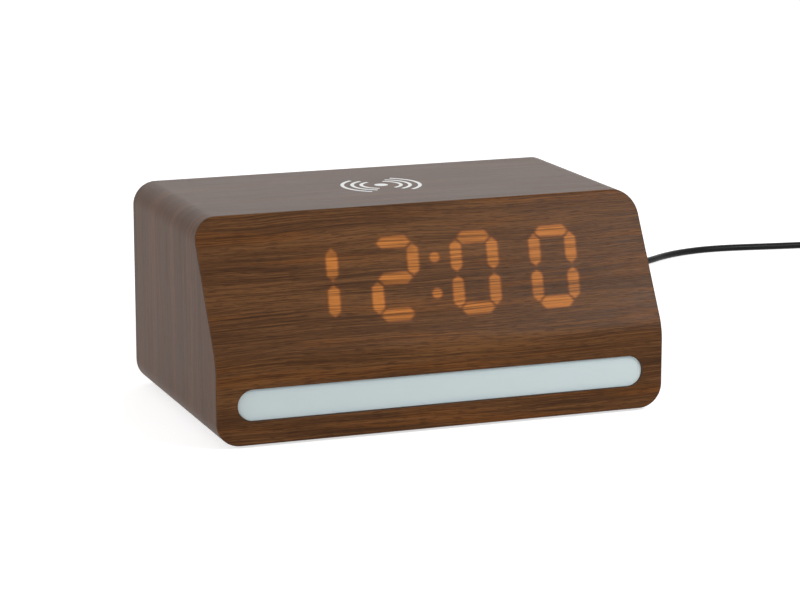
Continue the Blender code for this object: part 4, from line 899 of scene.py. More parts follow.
@dataclass(frozen=True)
class FrontShape:
    """The clock's bent front: upright at its foot, then leaning back to the roof."""

    crease_height: float = 0.031
    setback: float = 0.029
    crease_radius: float = 0.016
    corner: float = 0.009
    crease_segments: int = 10

    @cached_property
    def low(self) -> Vector:
        """The lowest corner of the case and its front panel."""
        return Vector(map(min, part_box("case_shell")[0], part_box("front_panel")[0]))

    @cached_property
    def high(self) -> Vector:
        """The highest corner of the case and its front panel."""
        return Vector(map(max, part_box("case_shell")[1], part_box("front_panel")[1]))

    @cached_property
    def crease_z(self) -> float:
        """How high the front's fold lies."""
        return self.low.z + self.crease_height

    @cached_property
    def slope(self) -> float:
        """How far the display leans back from upright."""
        return math.atan2(self.setback, self.high.z - self.crease_z)

    @cached_property
    def face_length(self) -> float:
        """The length of the display's slope."""
        return math.hypot(self.high.z - self.crease_z, self.setback)

    @cached_property
    def face(self) -> Matrix:
        """The display's frame: X to the right, Y up the slope from the fold, Z out of the face."""
        place = Matrix.Translation((0, self.low.y, self.crease_z))
        return place @ Matrix.Rotation(math.pi / 2 - self.slope, 4, "X")

    def outline(self, name: str, inset: float, front: float, back: float) -> bpy.types.Object:
        """A prism of the case's rounded outline, set in by a wall, between two places along Y.

        Args:
            name: the prism's name.
            inset: how far it is set in; less than zero grows it.
            front: where it starts.
            back: where it ends.

        Returns:
            The prism.
        """
        low, high = self.low, self.high
        start = (low.x + inset, front, low.z + inset)
        end = (high.x - inset, back, high.z - inset)
        return rounded_block(name, start, end, self.corner - inset)

    def sheet(self, name: str, inset: float, thickness: float) -> bpy.types.Object:
        """A bent sheet before the front, wider and taller than the case.

        Args:
            name: the sheet's name.
            inset: how far its rear surface lies behind the front; less than zero puts it before.
            thickness: how far it reaches forwards from there.

        Returns:
            The closed sheet.
        """
        reach = self.high.x + OVERRUN
        fold_z = self.crease_z - inset * math.tan(self.slope / 2)
        foot_z = self.low.z - OVERRUN
        rise = self.high.z + OVERRUN - fold_z
        start_new()
        bpy.ops.mesh.primitive_plane_add(size=1, rotation=(math.pi / 2, 0, 0))
        bpy.ops.transform.resize(value=(2 * reach, 1, fold_z - foot_z))
        bpy.ops.transform.translate(value=(0, self.low.y + inset, (foot_z + fold_z) / 2))
        piece = settle(name)
        with editing(piece, Pick.EDGE):
            pick_edges(piece, lambda start, end: min(start.z, end.z) > fold_z - NEAR, least_faces=1)
            lean = (0, rise * math.tan(self.slope), rise)
            bpy.ops.mesh.extrude_region_move(TRANSFORM_OT_translate={"value": lean})
            pick_edges(piece, lambda start, end: abs(start.z - fold_z) < NEAR and abs(end.z - fold_z) < NEAR)
            tangent = (self.crease_radius - inset) * math.tan(self.slope / 2)
            bpy.ops.mesh.bevel(offset=tangent, segments=self.crease_segments, profile=0.5, affect="EDGES")
            bpy.ops.mesh.select_all(action="SELECT")
            bpy.ops.mesh.normals_make_consistent(inside=False)
        if piece.data.polygons[0].normal.y > 0:
            piece.data.flip_normals()
        apply(piece, "SOLIDIFY", thickness=thickness, offset=1.0, use_even_offset=True)
        return piece

    def solid(self, name: str, inset: float, back: float) -> bpy.types.Object:
        """The case's whole solid, set in by a wall, from its bent front to a place along Y.

        Args:
            name: the solid's name.
            inset: how far it is set in; less than zero grows it.
            back: where it ends.

        Returns:
            The solid.
        """
        body = self.outline(name, inset, self.low.y - OVERRUN, back)
        return join(body, Join.CUT, self.sheet("front_cutter", inset, 2 * self.setback))

    def unfolded(self, place: Vector) -> tuple[float, float]:
        """Where a place on the front lies once the front is laid flat.

        Args:
            place: a place on the front.

        Returns:
            How far it is across, and up from the fold.
        """
        past = place.z - self.crease_z
        lean = (place.y - self.low.y) * math.sin(self.slope) + past * math.cos(self.slope)
        return place.x, past if past < 0 else lean

    def around(self, place: Vector, side: float) -> float:
        """How far round the outline a place is, so that the grain runs on over the roof and its seam is underneath.

        Args:
            place: a place on the tube.
            side: 1 for a face on the right half and -1 for one on the left.

        Returns:
            The length from the underside's middle up the left side, counted downwards from zero.
        """
        half, radius = self.high.x, self.corner
        middle = (self.low.z + self.high.z) / 2
        tall = (self.high.z - self.low.z) / 2 - radius
        across, up = side * place.x, place.z - middle
        quarter = math.pi / 2 * radius
        flat = half - radius
        half_way = 2 * (flat + quarter + tall)
        if across <= flat:
            run = across if up < 0 else half_way - across
        elif abs(up) <= tall:
            run = flat + quarter + up + tall
        else:
            turn = math.atan2(across - flat, abs(up) - tall) * radius
            run = flat + turn if up < 0 else half_way - flat - turn
        return run - 2 * half_way if side > 0 else -run


# Sub-assemblies


@dataclass(frozen=True)
class Readout:
    """The lit readout: four digits of seven bars each, leaning to the right, and a colon between the pairs."""

    face_length: float
    pitch: float = 0.0325
    shift: float = 0.0016
    stroke: float = 0.0048
    column: float = 0.0075
    foot_margin: float = 0.0117
    head_margin: float = 0.0127
    break_length: float = 0.0017
    corner_cut: float = 0.0014
    tip_slope: float = 0.9
    tip_radius: float = 0.0003
    corner_radius: float = 0.0006
    dot_radius: float = 0.0021
    slant: float = math.radians(6.2)
    blur: float = 0.0008
    halo: float = 0.05
    digits: tuple[str, ...] = ("bc", "abdeg", "abcdef", "abcdef")

    @cached_property
    def height(self) -> float:
        """How tall a digit is."""
        return self.face_length - self.foot_margin - self.head_margin

    @cached_property
    def middle(self) -> float:
        """How far up the slope the digits' middle lies."""
        return self.foot_margin + self.height / 2

    @cached_property
    def row(self) -> float:
        """How far a digit's top bar is from its middle one."""
        return (self.height - self.stroke) / 2

    @cached_property
    def half_width(self) -> float:
        """How far the readout reaches to each side of its middle."""
        pitches = (len(self.digits) - 1) / 2
        return pitches * self.pitch + self.column + self.stroke + self.height * math.tan(self.slant) / 2

    def beyond_bar(self, letter: str, across: float, up: float) -> float:
        """How far a place is outside one bar of a digit.

        Args:
            letter: the bar's letter, from a at the top, clockwise, to g in the middle.
            across: the place to the right of the digit's middle, with the slant taken out.
            up: the place above the digit's middle.

        Returns:
            The distance, less than zero inside the bar.
        """
        column, half_rows = {
            "a": (0, 2), "b": (1, 1), "c": (1, -1), "d": (0, -2), "e": (-1, -1), "f": (-1, 1), "g": (0, 0),
        }[letter]
        x, y = abs(across - column * self.column), abs(up - half_rows * self.row / 2)
        if column:
            along, side, length = y, x, self.row - self.break_length
        else:
            along, side, length = x, y, 2 * self.column - self.corner_cut
        radius = self.corner_radius
        flank = side - self.stroke / 2 + radius
        blunt = math.hypot(side, self.tip_radius) - self.tip_radius
        tip = (along + self.tip_slope * blunt - length / 2) / math.hypot(1, self.tip_slope) + radius
        return min(max(flank, tip), 0) + math.hypot(max(flank, 0), max(tip, 0)) - radius

    def glow(self, across: float, up: float) -> float:
        """How brightly a place on the display shines.

        Args:
            across: the place to the right of the face's middle.
            up: the place up the slope.

        Returns:
            A share from 0 to 1.
        """
        rise = up - self.middle
        upright = across - self.shift - rise * math.tan(self.slant)
        outside = min(math.hypot(upright, rise - side * self.row / 2) - self.dot_radius for side in (1, -1))
        last = len(self.digits) - 1
        digit = round(upright / self.pitch + last / 2)
        if 0 <= digit <= last:
            local = upright - (digit - last / 2) * self.pitch
            outside = min(outside, *(self.beyond_bar(bar, local, rise) for bar in self.digits[digit]))
        share = min(max(0.5 - outside / (2 * self.blur), 0.0), 1.0)
        return max(share * share * (3 - 2 * share), self.halo * math.exp(-max(outside, 0.0) / (2 * self.blur)))


@dataclass
class Foil:
    """The printed foil: over the front, round the case, over its rear edge and into the rear cover's recess."""

    shape: FrontShape
    readout: Readout
    thickness: float = 0.0002
    front_edge: float = 0.00065
    front_segments: int = 4
    rear_edge: float = 0.0002
    tuck: float = 0.00022
    rebate_wall: float = 0.003
    tiles: int = 3
    cuts: int = 96

    def build(self) -> bpy.types.Object:
        """Models the foil, lays its grain, writes the readout's glow on it and gives it its finishes.

        Returns:
            The foil.
        """
        shape, back = self.shape, self.shape.high.y
        foil = shape.solid("walnut_foil", -self.thickness, back + self.thickness)
        soften(foil, self.front_edge, lambda start, end: max(start.y, end.y) < back, self.front_segments)
        join(foil, Join.CUT, shape.solid("foil_core", 0, back))
        join(foil, Join.CUT, shape.outline("foil_mouth", self.rebate_wall, back - OVERRUN, back + OVERRUN))
        join(foil, Join.ADD, self.tucked_edge())
        join(foil, Join.CUT, self.slot(), *self.foot_holes())
        rim = back + self.thickness - NEAR
        soften(foil, self.rear_edge, lambda start, end: min(start.y, end.y) > rim)
        self.divide(foil)
        self.map_grain(foil)
        self.light(foil)
        # The sides and roof take the foil with painted shade and painted sheen; faces on the front take the front's
        # foil.
        dress(smooth(foil), SHADED_SIDE_FOIL)
        foil.data.materials.append(FACE_FOIL.material())
        for face in foil.data.polygons:
            face.material_index = int(self.on_front(face.normal))
        return foil

    def tucked_edge(self) -> bpy.types.Object:
        """Makes the foil's edge that lies inside the recess, down to the rear cover.

        Returns:
            A short tube.
        """
        shape, back, cover_y = self.shape, self.shape.high.y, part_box("rear_cover")[1].y
        tuck = shape.outline("foil_tuck", self.rebate_wall, cover_y - OVERRUN / 2, back + self.thickness)
        inner = self.rebate_wall + self.tuck
        return join(tuck, Join.CUT, shape.outline("tuck_core", inner, cover_y - OVERRUN, back + OVERRUN))

    def slot(self) -> bpy.types.Object:
        """Makes the solid that cuts the light bar's slot through the foil.

        Returns:
            A bar with round ends.
        """
        low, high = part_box("light_bar_lens")
        flange = (high.z - low.z - LightBar.slot_height) / 2
        start = (low.x + flange, low.y - 2 * OVERRUN, low.z + flange)
        end = (high.x - flange, low.y + OVERRUN, high.z - flange)
        return rounded_block("foil_slot", start, end, LightBar.slot_height, segments=LightBar.end_segments)

    def foot_holes(self) -> list[bpy.types.Object]:
        """Makes the solids that leave the foil open round each foot.

        Returns:
            One disc for each foot.
        """
        holes = []
        for index in range(1, FEET + 1):
            low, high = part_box(f"foot_{index}")
            radius = (high.x - low.x) / 2 + self.thickness
            place = Matrix.Translation(((low.x + high.x) / 2, (low.y + high.y) / 2, 0))
            holes.append(turned("foot_hole", ((radius, -OVERRUN), (radius, OVERRUN)), place))
        return holes

    def on_front(self, normal: Vector) -> bool:
        """Whether a face belongs to the front's print and not to the sides'.

        Args:
            normal: the face's normal.

        Returns:
            True on the upright foot and on the slope.
        """
        lean = self.shape.slope
        upright, leaning = Vector((0, -1, 0)), Vector((0, -math.cos(lean), math.sin(lean)))
        return max(normal.dot(upright), normal.dot(leaning)) > math.cos(FRONT_REACH)

    def divide(self, foil: bpy.types.Object) -> None:
        """Cuts the display's part of the foil into small faces that can hold the glow.

        Args:
            foil: the foil.
        """
        readout, face = self.readout, self.shape.face
        grow = readout.stroke / 2
        bottom, top = readout.foot_margin - grow, readout.foot_margin + readout.height + grow
        leftmost = readout.shift - readout.half_width
        outward = face.to_3x3() @ Vector((0, 0, 1))
        planes = [
            ((leftmost + 2 * readout.half_width * index / self.tiles, 0, 0), (1, 0, 0))
            for index in range(self.tiles + 1)
        ]
        planes += [(face @ Vector((0, up, 0)), face.to_3x3() @ Vector((0, 1, 0))) for up in (bottom, top)]

        def in_display(centre: Vector, normal: Vector) -> bool:
            """Whether a face is on the display's outer surface, round the readout.

            Args:
                centre: the face's middle.
                normal: its normal.

            Returns:
                True within the readout's reach.
            """
            local = face.inverted() @ centre
            inside = abs(local.x - readout.shift) < readout.half_width and bottom < local.y < top
            return inside and normal.dot(outward) > math.cos(FLAT_ANGLE)

        with editing(foil, Pick.FACE):
            for place, normal in planes:
                bpy.ops.mesh.select_all(action="SELECT")
                bpy.ops.mesh.bisect(plane_co=place, plane_no=normal)
            LOG.info("walnut_foil: %d display tiles", pick_faces(foil, in_display))
            bpy.ops.mesh.subdivide(number_cuts=self.cuts)

    def map_grain(self, foil: bpy.types.Object) -> None:
        """Lays the grain: along X on the unfolded front, and along the outline round the sides.

        Args:
            foil: the foil.
        """
        layer = foil.data.uv_layers.new(name=GRAIN_MAP)
        for face in foil.data.polygons:
            front = self.on_front(face.normal)
            side = 1.0 if face.center.x >= 0 else -1.0
            for index in face.loop_indices:
                place = foil.data.vertices[foil.data.loops[index].vertex_index].co
                flat = self.shape.unfolded(place) if front else (self.shape.around(place, side), place.y)
                layer.data[index].uv = flat

    def light(self, foil: bpy.types.Object) -> None:
        """Writes how brightly each point of the foil shines.

        Args:
            foil: the foil.
        """
        into = self.shape.face.inverted()
        glow = foil.data.attributes.new(GLOW_MAP, "FLOAT", "POINT")
        for vertex, value in zip(foil.data.vertices, glow.data):
            local = into @ vertex.co
            lit = local.z > self.thickness / 2 and 0 < local.y < self.readout.face_length
            value.value = self.readout.glow(local.x, local.y) if lit else 0.0


@dataclass
class LightBar:
    """The milky lens in the slot along the clock's foot."""

    slot_height: float = 0.0124
    edge: float = 0.0003
    fit: float = 0.00012
    flange_depth: float = 0.0014
    end_segments: int = 20

    def build(self) -> bpy.types.Object:
        """Models the lens with its hidden flange.

        Returns:
            The lens.
        """
        low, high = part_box("light_bar_lens")
        margin = (high.z - low.z - self.slot_height) / 2 + self.fit
        start = (low.x + margin, low.y, low.z + margin)
        end = (high.x - margin, high.y - self.flange_depth / 2, high.z - margin)
        lens = rounded_block("light_bar_diffuser", start, end, self.slot_height, segments=self.end_segments)
        soften(lens, self.edge, lambda a, b: a.y < low.y + NEAR and b.y < low.y + NEAR)
        start = (low.x, high.y - self.flange_depth, low.z)
        join(lens, Join.ADD, rounded_block("lens_flange", start, high, high.z - low.z, segments=self.end_segments))
        # The milky lens: its top and bottom edges get the acrylic's painted shade, darker and bluer.
        finish = Acrylic(
            "milky_satin_acrylic", "milky_acrylic", middle_z=(low.z + high.z) / 2, half_height=self.slot_height / 2
        )
        return dress(smooth(lens), finish, stands_for=["light_bar_lens"])


@dataclass
class ChargingMark:
    """The white dot and arcs that show where a phone is laid."""

    shape: FrontShape
    ink: float = 0.00004
    dot: float = 0.0027
    behind_coil: float = 0.0008
    arcs: tuple[tuple[float, float, float], ...] = (
        (0.00715, 0.0086, math.radians(66)),
        (0.01075, 0.0122, math.radians(61.5)),
        (0.01465, 0.0161, math.radians(58)),
    )
    steps: int = 120

    def build(self) -> None:
        """Prints the mark on the roof."""
        low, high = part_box("charging_coil")
        middle = (low + high) / 2
        place = Matrix.Translation((0, middle.y + self.behind_coil, self.shape.high.z + Foil.thickness))
        self.print_dot(place)
        for index, (inner, outer, half_angle) in enumerate(self.arcs):
            self.print_arcs(f"charging_arcs_{index + 1}", inner, outer, half_angle, place)

    def print_dot(self, place: Matrix) -> bpy.types.Object:
        """Prints the dot.

        Args:
            place: the mark's middle.

        Returns:
            The dot.
        """
        stations = ((self.dot, 0.0), (self.dot, self.ink))
        return dress(smooth(turned("charging_dot", stations, place)), SCREEN_INK)

    def print_arcs(
        self, name: str, inner: float, outer: float, half_angle: float, place: Matrix
    ) -> bpy.types.Object:
        """Prints one pair of arcs, left and right of the dot.

        Args:
            name: the pair's name.
            inner: the arcs' inner radius.
            outer: their outer radius.
            half_angle: how far each arc reaches to either side of the X axis.
            place: the mark's middle.

        Returns:
            The pair.
        """
        start_new()
        bpy.ops.mesh.primitive_circle_add(vertices=self.steps, radius=inner, fill_type="NOTHING")
        pair = settle(name)
        with editing(pair, Pick.EDGE):
            bpy.ops.mesh.select_all(action="SELECT")
            bpy.ops.mesh.extrude_edges_move()
            bpy.ops.transform.resize(value=(outer / inner, outer / inner, 1), center_override=(0, 0, 0))
            bpy.ops.mesh.select_mode(type=Pick.FACE.value)
            bpy.ops.mesh.select_all(action="DESELECT")
            turn = math.tan(half_angle)
            pick_faces(pair, lambda centre, normal: abs(centre.y) > abs(centre.x) * turn)
            bpy.ops.mesh.delete(type="FACE")
            bpy.ops.mesh.select_all(action="SELECT")
            bpy.ops.mesh.normals_make_consistent(inside=False)
        if pair.data.polygons[0].normal.z < 0:
            pair.data.flip_normals()
        apply(pair, "SOLIDIFY", thickness=self.ink, offset=1.0)
        return dress(smooth(moved(pair, place)), SCREEN_INK)


@dataclass
class Foot:
    """A stick-on rubber foot with a soft edge and a shallow dish underneath."""

    edge: float = 0.0006
    dish: float = 0.0004
    dish_share: float = 0.7

    def build(self) -> list[bpy.types.Object]:
        """Models one foot and copies it to each seat.

        Returns:
            The feet.
        """
        low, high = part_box("foot_1")
        middle, radius = (low + high) / 2, (high.x - low.x) / 2
        hollow = radius * self.dish_share
        edge = [(width, -height) for width, height in reversed(rounded_over(radius, 0.0, self.edge))]
        stations = ((hollow - self.dish, self.dish), (hollow, 0.0), *edge, (radius, high.z))
        place = Matrix.Translation((middle.x, middle.y, 0))
        feet = [smooth(turned("rubber_foot_1", stations, place))]
        for index in range(2, FEET + 1):
            feet.append(copied(feet[0], f"rubber_foot_{index}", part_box(f"foot_{index}")[0] - low))
        for index, foot in enumerate(feet, start=1):
            dress(foot, RUBBER, stands_for=[f"foot_{index}"])
        return feet


@dataclass
class Rear:
    """What is seen from behind: cover, keys, battery lid, screws and socket."""

    cover_wall: float = 0.0025
    key_radius: float = 0.0038
    key_stem: float = 0.0015
    key_flange: float = 0.001
    key_gap: float = 0.0003
    key_edge: float = 0.0004
    key_dish: float = 0.00035
    key_rim: float = 0.001
    lid_edge: float = 0.0004
    lid_sides: int = 72
    coin_slot: tuple[float, float, float] = (0.0130, 0.0018, 0.0007)
    lug: tuple[float, float, float] = (0.0015, 0.0046, 0.0009)
    skirt_radius: float = 0.0108
    skirt_wall: float = 0.0014
    plate: float = 0.0013
    screw_shank: float = 0.0012
    screw_head: float = 0.0015
    screw_sides: int = 32
    screw_pan: tuple[tuple[float, float], ...] = ((1.0, 1 / 3), (0.93, 0.68), (0.72, 0.93), (0.45, 1.0))
    cross: tuple[float, float, float] = (0.0032, 0.0007, 0.0009)
    cover_edge: float = 0.0003
    socket_edge: float = 0.00015

    def build(self) -> None:
        """Models and dresses every piece of the rear."""
        self.cover()
        self.lid()
        first_key, *other_keys = KEYS
        key, screw = self.key(f"key_{first_key}", f"button_{first_key}"), self.screw("cover_screw_1", "rear_screw_1")
        for name in other_keys:
            twin = copied(key, f"key_{name}", self.shift(f"button_{first_key}", f"button_{name}"))
            dress(twin, GLOSS_ABS, Body(f"{name}_key"), [f"button_{name}"])
        for index in range(2, COVER_SCREWS + 1):
            twin = copied(screw, f"cover_screw_{index}", self.shift("rear_screw_1", f"rear_screw_{index}"))
            dress(twin, NICKEL, stands_for=[f"rear_screw_{index}"])
        dress(key, GLOSS_ABS, Body(f"{first_key}_key"), [f"button_{first_key}"])
        dress(screw, NICKEL, stands_for=["rear_screw_1"])
        socket = refined("power_socket", "dc_socket")
        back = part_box("power_socket")[1].y
        soften(socket, self.socket_edge, lambda start, end: min(start.y, end.y) > back - NEAR)
        dress(smooth(socket), GLOSS_ABS, stands_for=["power_socket"])

    @staticmethod
    def shift(first: str, other: str) -> Vector:
        """How far one node lies from another of the same size."""
        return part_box(other)[0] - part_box(first)[0]

    def cover(self) -> bpy.types.Object:
        """The rear moulding, with the edges of its outer face softened.

        Returns:
            The cover.
        """
        cover = refined("rear_cover", "rear_moulding")
        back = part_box("rear_cover")[1].y
        soften(cover, self.cover_edge, lambda start, end: min(start.y, end.y) > back - NEAR)
        return dress(smooth(cover), ABS, stands_for=["rear_cover"])

    def key(self, name: str, node: str) -> bpy.types.Object:
        """One push button with a dished top and a flange behind the cover.

        Args:
            name: the button's name.
            node: the CAD node whose place it takes.

        Returns:
            The button.
        """
        low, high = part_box(node)
        middle, flange = (low + high) / 2, (high.x - low.x) / 2
        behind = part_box("rear_cover")[1].y - self.cover_wall - self.key_gap
        cap, dish = self.key_radius, self.key_dish
        stations = (
            (self.key_stem, low.y), (self.key_stem, behind - self.key_flange), (flange, behind - self.key_flange),
            (flange, behind), (cap, behind), *rounded_over(cap, high.y, self.key_edge),
            (cap - self.key_rim, high.y - dish / 2), (cap / 3, high.y - dish),
        )
        return smooth(turned(name, stations, Matrix.Translation((middle.x, 0, middle.z)) @ AXIS_BACK))

    def lid(self) -> bpy.types.Object:
        """The battery lid with its coin slot, skirt and lugs.

        Returns:
            The lid.
        """
        low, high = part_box("battery_cover")
        middle = (low + high) / 2
        radius, top = (high.x - low.x) / 2, high.y
        under = top - self.plate
        place = Matrix.Translation((middle.x, 0, middle.z)) @ AXIS_BACK
        stations = (
            (self.skirt_radius, low.y), (self.skirt_radius, under), (radius, under),
            *rounded_over(radius, top, self.lid_edge),
        )
        lid = turned("battery_lid_turned", stations, place, self.lid_sides)
        inner = self.skirt_radius - self.skirt_wall
        hollow = turned("skirt_hollow", ((inner, low.y - OVERRUN), (inner, under)), place, self.lid_sides)
        join(lid, Join.CUT, hollow)
        length, width, depth = self.coin_slot
        start = (middle.x - length / 2, top - depth, middle.z - width / 2)
        end = (middle.x + length / 2, top + OVERRUN, middle.z + width / 2)
        join(lid, Join.CUT, rounded_block("coin_slot", start, end, width / 2))
        reach, wide, thick = self.lug
        for side in (-1, 1):
            edge = middle.x + side * (self.skirt_radius - self.skirt_wall / 2)
            tip = middle.x + side * (self.skirt_radius + reach)
            start = (min(edge, tip), low.y, middle.z - wide / 2)
            end = (max(edge, tip), low.y + thick, middle.z + wide / 2)
            join(lid, Join.ADD, rounded_block("lug", start, end, 0))
        return dress(smooth(lid), ABS, Body.LID, ["battery_cover"])

    def screw(self, name: str, node: str) -> bpy.types.Object:
        """A pan-head screw with a crossed recess.

        Args:
            name: the screw's name.
            node: the CAD node whose place it takes.

        Returns:
            The screw.
        """
        low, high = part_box(node)
        middle, radius = (low + high) / 2, (high.x - low.x) / 2
        shank, head, top = self.screw_shank, self.screw_head, high.y
        seat = top - head
        pan = [(radius * width, seat + head * height) for width, height in self.screw_pan]
        stations = ((shank / 4, low.y), (shank, low.y + shank), (shank, seat), (radius, seat), *pan)
        place = Matrix.Translation((middle.x, 0, middle.z)) @ AXIS_BACK
        screw = turned(name, stations, place, self.screw_sides)
        length, width, depth = self.cross
        for reach_x, reach_z in ((length, width), (width, length)):
            start = (middle.x - reach_x / 2, top - depth, middle.z - reach_z / 2)
            end = (middle.x + reach_x / 2, top + OVERRUN, middle.z + reach_z / 2)
            join(screw, Join.CUT, rounded_block("recess", start, end, 0))
        return smooth(screw)


@dataclass
class PowerCord:
    """The cord from the clock's plug to the flat plug at its far end, with what it does not show wound up."""

    radius: float = 0.0016
    round_steps: int = 6
    length: float = 1.25
    route: tuple[tuple[float, float, float], ...] = (
        (0.0450, 0.0868, 0.0220),
        (0.0450, 0.0960, 0.0220),
        (0.0456, 0.1050, 0.0206),
        (0.0475, 0.1160, 0.0160),
        (0.0512, 0.1280, 0.0094),
        (0.0570, 0.1400, 0.0040),
        (0.0650, 0.1510, 0.0018),
        (0.0765, 0.1618, 0.0016),
        (0.0920, 0.1713, 0.0016),
        (0.1120, 0.1785, 0.0016),
        (0.1340, 0.1827, 0.0016),
        (0.1560, 0.1852, 0.0016),
        (0.1760, 0.1886, 0.0016),
        (0.1920, 0.1942, 0.0016),
        (0.2052, 0.2013, 0.0016),
        (0.2165, 0.2085, 0.0016),
        (0.2279, 0.2135, 0.0016),
        (0.2400, 0.2161, 0.0016),
        (0.2510, 0.2163, 0.0016),
        (0.2620, 0.2150, 0.0016),
        (0.2760, 0.2124, 0.0016),
        (0.2919, 0.2098, 0.0016),
        (0.3040, 0.2084, 0.0016),
        (0.3110, 0.2080, 0.0016),
        (0.3145, 0.2080, 0.0016),
    )
    coil_x: float = 0.3180
    coil_radius: float = 0.0257
    coil_pitch: float = 0.0037
    turns_in: float = 3.5
    turns_out: float = 3.75
    turn_points: int = 48
    tail: float = 0.020
    tail_points: int = 8
    route_steps: int = 6
    plug_z: float = 0.0039
    grip_length: float = 0.0130
    grip_edge: float = 0.0006
    grip_groove: float = 0.0006
    relief_radii: tuple[float, float] = (0.0034, 0.0022)
    ribs: int = 6
    rib_groove: tuple[float, float] = (1.2, 1.9)
    tie_width: float = 0.0050
    tie_wall: float = 0.0005
    tie_corner: float = 0.0022

    def free_points(self) -> list[Vector]:
        """One smooth curve through the route's points.

        Returns:
            Points on the curve, evenly spread over each span.
        """
        knots = [Vector(point) for point in self.route]
        knots = [2 * knots[0] - knots[1], *knots, 2 * knots[-1] - knots[-2]]
        points = []
        for before, start, end, after in zip(knots, knots[1:], knots[2:], knots[3:]):
            for index in range(self.route_steps):
                t = index / self.route_steps
                bend = (2 * start + (end - before) * t + (2 * before - 5 * start + 4 * end - after) * t**2) / 2
                point = bend + (3 * start - before - 3 * end + after) * t**3 / 2
                point.z = max(point.z, self.radius)
                points.append(point)
        return points

    def wound_points(self) -> list[Vector]:
        """The coil: in along the table, up half a turn at its middle, out on top, then straight to the plug.

        Returns:
            Points along the turns and the tail.
        """
        centre_y = self.route[-1][1] - self.coil_radius
        inner = self.coil_radius - self.turns_in * self.coil_pitch
        turns = self.turns_in + self.turns_out
        count = round(turns * self.turn_points)
        points = []
        for index in range(count + 1):
            turn = turns * index / count
            radius = inner + self.coil_pitch * abs(turn - self.turns_in)
            climb = self.eased((turn - self.turns_in) * 2 + 0.5)
            angle = math.pi / 2 - turn * math.tau
            x, y = self.coil_x + radius * math.cos(angle), centre_y + radius * math.sin(angle)
            points.append(Vector((x, y, self.radius + climb * self.coil_pitch)))
        top = points[-1]
        for index in range(self.tail_points):
            share = (index + 1) / self.tail_points
            drop = (self.plug_z - top.z) * self.eased(share)
            points.append(top + Vector((0, -self.tail * share, drop)))
        points.append(points[-1] - Vector((0, 2 * self.radius, 0)))
        return points

    @staticmethod
    def eased(share: float) -> float:
        """A smooth step from 0 to 1."""
        share = min(max(share, 0.0), 1.0)
        return share * share * (3 - 2 * share)

    def build(self) -> bpy.types.Object:
        """Returns:
            The cord.
        """
        points = self.free_points() + self.wound_points()
        curve = bpy.data.curves.new("power_cord", "CURVE")
        curve.dimensions = "3D"
        curve.bevel_depth = self.radius
        curve.bevel_resolution = self.round_steps
        curve.use_fill_caps = True
        spline = curve.splines.new("POLY")
        spline.points.add(len(points) - 1)
        for target, point in zip(spline.points, points):
            target.co = (*point, 1)
        spline.use_smooth = True
        cord = bpy.data.objects.new("power_cord", curve)
        bpy.context.scene.collection.objects.link(cord)
        dress(cord, VINYL, stands_for=["cord", "cord_coil"])
        pieces = [self.grip(), *FlatPlug().build(), self.tie(), "plug_barrel"]
        return cord

    def grip(self) -> bpy.types.Object:
        """The moulded grip of the plug at the clock, with the ribs of its strain relief.

        Returns:
            The grip.
        """
        low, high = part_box("plug_grip")
        middle, body = (low + high) / 2, (high.x - low.x) / 2
        shoulder, edge, groove = low.y + self.grip_length, self.grip_edge, self.grip_groove
        thick, thin = self.relief_radii
        step = (high.y - shoulder) / (2 * self.ribs)
        stations = [
            (body - edge, low.y), (body, low.y + edge), *rounded_over(body, shoulder, edge), (thick, shoulder),
        ]
        groove_start, groove_end = self.rib_groove
        for rib in range(self.ribs):
            wide, foot = thick + (thin - thick) * rib / self.ribs, shoulder + 2 * rib * step
            narrow = wide - (thick - thin) / self.ribs
            stations += [
                (wide, foot + step), (wide - groove, foot + groove_start * step),
                (wide - groove, foot + groove_end * step), (narrow, foot + 2 * step),
            ]
        grip = turned("dc_plug_grip", stations, Matrix.Translation((middle.x, 0, middle.z)) @ AXIS_BACK)
        return dress(smooth(grip), VINYL, stands_for=["plug_grip"])

    def tie(self) -> bpy.types.Object:
        """The rubber strap that holds the coil together, on the side away from the plug.

        Returns:
            The tie.
        """
        inner = self.coil_x - self.coil_radius + self.turns_in * self.coil_pitch
        outer = self.coil_x - self.coil_radius
        centre_y, wall, half = self.route[-1][1] - self.coil_radius, self.tie_wall, self.tie_width / 2
        top = self.coil_pitch + 2 * self.radius + wall
        start = Vector((outer - self.radius / 2 - wall, centre_y - half, 0))
        end = Vector((inner + self.radius / 2 + wall, centre_y + half, top))
        strap = rounded_block("coil_tie", start, end, self.tie_corner)
        inset = Vector((wall, -wall, wall))
        core = rounded_block("tie_core", start + inset, end - inset, self.tie_corner - wall)
        join(strap, Join.CUT, core)
        tongue_start = (start.x + 2 * self.tie_width / 3, start.y + wall / 2, top - wall / 2)
        tongue_end = (end.x - self.tie_corner, end.y - wall / 2, top + wall / 2)
        tongue = rounded_block("tie_tongue", tongue_start, tongue_end, half / 2, axis=2)
        join(strap, Join.ADD, tongue)
        soften(strap, wall / 4, lambda start, end: True)
        return dress(smooth(strap), RUBBER)


